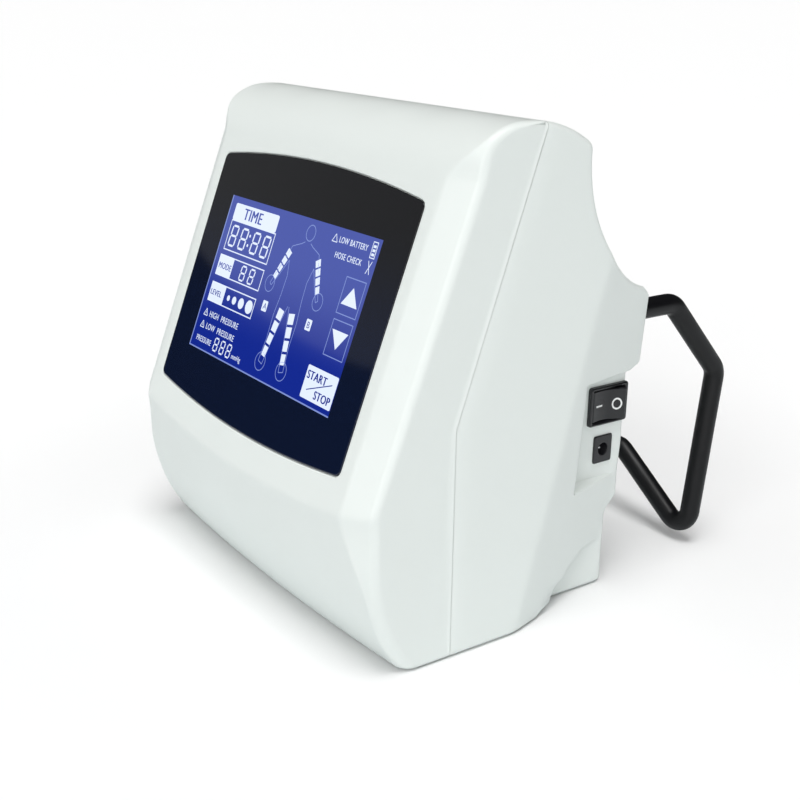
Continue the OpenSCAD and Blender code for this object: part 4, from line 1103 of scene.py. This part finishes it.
eye = [(2.6, 5.4), (4.6, 5.4), (5.1, 5.25), (5.38, 4.8), (5.4, 0)]  # (radius, x) of its right half
eye += [(r, -x) for r, x in reversed(eye[:-1])]
for s in (1, -1):
    start = len(verts)
    eye_loops = []
    for r, x in eye:
        eye_loops.append([(s * ARM_X + x, y, z) for y, z in circle(PIVOT_Y, PIVOT_Z, r, 40)])
    v2, f2 = sew(eye_loops)
    verts += v2
    faces += [[start + i for i in f] for f in f2]
weigh(piece("hook_tube", verts, faces, coating, body="hook", stands=["bed_hook"]))


# ---------------------------------------------------------------- feet

verts, faces = [], []
for fx, fy in ((-100, 15), (100, 15), (-86, 134), (86, 134)):
    start = len(verts)
    loops = []
    for r, z in ((5.6, 0.0), (6.1, 0.12), (6.4, 0.45), (6.9, 1.9), (7.0, 2.0)):
        loops.append([(x, y, z) for x, y in circle(fx, fy, r, 40)])
    v2, f2 = sew(loops, True, True)
    verts += v2
    faces += [[start + i for i in f] for f in f2]
weigh(piece("feet", verts, faces, rubber, stands=["rubber_feet"]))


# ---------------------------------------------------------------- stage, light and camera

floor_mat = bpy.data.materials.new("studio_floor")
floor_mat.use_nodes = True
ground = floor_mat.node_tree
cover = ground.nodes["Principled BSDF"]
shades = ground.nodes.new("ShaderNodeMix")
shades.data_type = "RGBA"
shades.inputs["A"].default_value = (0.82, 0.85, 0.86, 1)
# the camera sees it whiter, and whitest far off, where no shadow falls; its dimmer floor near the casing
# is painted shade
spot = ground.nodes.new("ShaderNodeNewGeometry")
away = ground.nodes.new("ShaderNodeVectorMath")
away.operation = "LENGTH"
paler = ground.nodes.new("ShaderNodeMapRange")
paler.interpolation_type = "SMOOTHSTEP"
paler.inputs["From Min"].default_value = 0.16
paler.inputs["From Max"].default_value = 0.42
paler.inputs["To Min"].default_value = 0.90
paler.inputs["To Max"].default_value = 0.99
looks = ground.nodes.new("ShaderNodeLightPath")
ground.links.new(spot.outputs["Position"], away.inputs[0])
ground.links.new(away.outputs["Value"], paler.inputs["Value"])
ground.links.new(paler.outputs["Result"], shades.inputs["B"])
ground.links.new(looks.outputs["Is Camera Ray"], shades.inputs["Factor"])
ground.links.new(shades.outputs["Result"], cover.inputs["Base Color"])
cover.inputs["Roughness"].default_value = 0.9
cover.inputs["Specular IOR Level"].default_value = 0.1
data = bpy.data.meshes.new("studio_floor")
WIDE = 30  # metres from the middle to a side
corners = [(-WIDE, -WIDE, 0), (WIDE, -WIDE, 0), (WIDE, WIDE, 0), (-WIDE, WIDE, 0)]
data.from_pydata(corners, [], [(0, 1, 2, 3)])
data.materials.append(floor_mat)
floor = bpy.data.objects.new("studio_floor", data)
bpy.context.scene.collection.objects.link(floor)

# the camera sees a white world, matt surfaces a dimmer one, and glossy ones a dark
# room with a round lamp in it
world = bpy.data.worlds.new("studio")
bpy.context.scene.world = world
world.use_nodes = True
tree = world.node_tree
tree.nodes.clear()
out = tree.nodes.new("ShaderNodeOutputWorld")
paths = tree.nodes.new("ShaderNodeLightPath")
seen = tree.nodes.new("ShaderNodeBackground")
seen.inputs["Color"].default_value = (1, 1, 1, 1)
seen.inputs["Strength"].default_value = 1.0
given = tree.nodes.new("ShaderNodeBackground")
given.inputs["Color"].default_value = (1.0, 1.0, 1.0, 1)
given.inputs["Strength"].default_value = 0.33
mix = tree.nodes.new("ShaderNodeMixShader")
tree.links.new(paths.outputs["Is Camera Ray"], mix.inputs["Fac"])
tree.links.new(given.outputs["Background"], mix.inputs[1])
tree.links.new(seen.outputs["Background"], mix.inputs[2])
mirror = tree.nodes.new("ShaderNodeBackground")
mirror.inputs["Color"].default_value = (0.95, 0.97, 1.0, 1)
place = tree.nodes.new("ShaderNodeTexCoord")
split_xyz = tree.nodes.new("ShaderNodeSeparateXYZ")
height = tree.nodes.new("ShaderNodeMapRange")
height.interpolation_type = "SMOOTHSTEP"
height.inputs["From Min"].default_value = 0.08
height.inputs["From Max"].default_value = 0.20
height.inputs["To Min"].default_value = 0.01
height.inputs["To Max"].default_value = 0.03
tree.links.new(place.outputs["Generated"], split_xyz.inputs["Vector"])
tree.links.new(split_xyz.outputs["Z"], height.inputs["Value"])
disc = tree.nodes.new("ShaderNodeVectorMath")
disc.operation = "DOT_PRODUCT"
disc.inputs[1].default_value = (-0.7908, -0.4942, 0.3610)
rim = tree.nodes.new("ShaderNodeMapRange")
rim.interpolation_type = "SMOOTHSTEP"
rim.inputs["From Min"].default_value = 0.9668
rim.inputs["From Max"].default_value = 0.9690
rim.inputs["To Max"].default_value = 0.24
both = tree.nodes.new("ShaderNodeMath")
tree.links.new(place.outputs["Generated"], disc.inputs[0])
tree.links.new(disc.outputs["Value"], rim.inputs["Value"])
tree.links.new(height.outputs["Result"], both.inputs[0])
tree.links.new(rim.outputs["Result"], both.inputs[1])
tree.links.new(both.outputs["Value"], mirror.inputs["Strength"])
shiny = tree.nodes.new("ShaderNodeMixShader")
tree.links.new(paths.outputs["Is Glossy Ray"], shiny.inputs["Fac"])
tree.links.new(mix.outputs["Shader"], shiny.inputs[1])
tree.links.new(mirror.outputs["Background"], shiny.inputs[2])
tree.links.new(shiny.outputs["Shader"], out.inputs["Surface"])


def sun(name, towards, power, spread):
    """A far, broad light from a direction. Power 1 lights a square-on white surface to 1."""
    lamp = bpy.data.lights.new(name, "SUN")
    lamp.energy = power * math.pi
    lamp.angle = math.radians(spread)
    ob = bpy.data.objects.new(name, lamp)
    bpy.context.scene.collection.objects.link(ob)
    ob.rotation_mode = "QUATERNION"
    ob.rotation_quaternion = Vector(towards).to_track_quat("Z", "Y")


sun("key", (0.46, -0.77, 0.42), 0.34, 40)
sun("overhead", (0.16, -0.10, 1.0), 0.58, 30)
near_lamp = bpy.data.lights.new("near_key", "AREA")
near_lamp.size = 0.5
near_lamp.energy = 1.1
near = bpy.data.objects.new("near_key", near_lamp)
bpy.context.scene.collection.objects.link(near)
near.location = (0.85, -0.35, 0.09)
near.rotation_mode = "QUATERNION"
near.rotation_quaternion = (near.location - Vector((0.05, -0.05, 0.10))).to_track_quat("Z", "Y")

scene = bpy.context.scene
scene.view_settings.view_transform = "Standard"
cam_data = bpy.data.cameras.new("photo_view")
cam_data.lens = 55.05
cam_data.sensor_width = 36
cam = bpy.data.objects.new("photo_view", cam_data)
scene.collection.objects.link(cam)
a, e, roll = math.radians(54.76), math.radians(18.85), math.radians(-0.80)
back = Vector((math.sin(a) * math.cos(e), -math.cos(a) * math.cos(e), math.sin(e)))
right_way = Vector((math.cos(a), math.sin(a), 0))
up_way = back.cross(right_way)
turned_right = right_way * math.cos(roll) - up_way * math.sin(roll)
turned_up = back.cross(turned_right)
facing = Matrix((turned_right, turned_up, back)).transposed()
cam.rotation_mode = "QUATERNION"
cam.rotation_quaternion = facing.to_quaternion()
cam.location = row(510.78, -279.88, 298.70)
cam_data.clip_start = 0.01
cam_data.clip_end = 100
scene.camera = cam
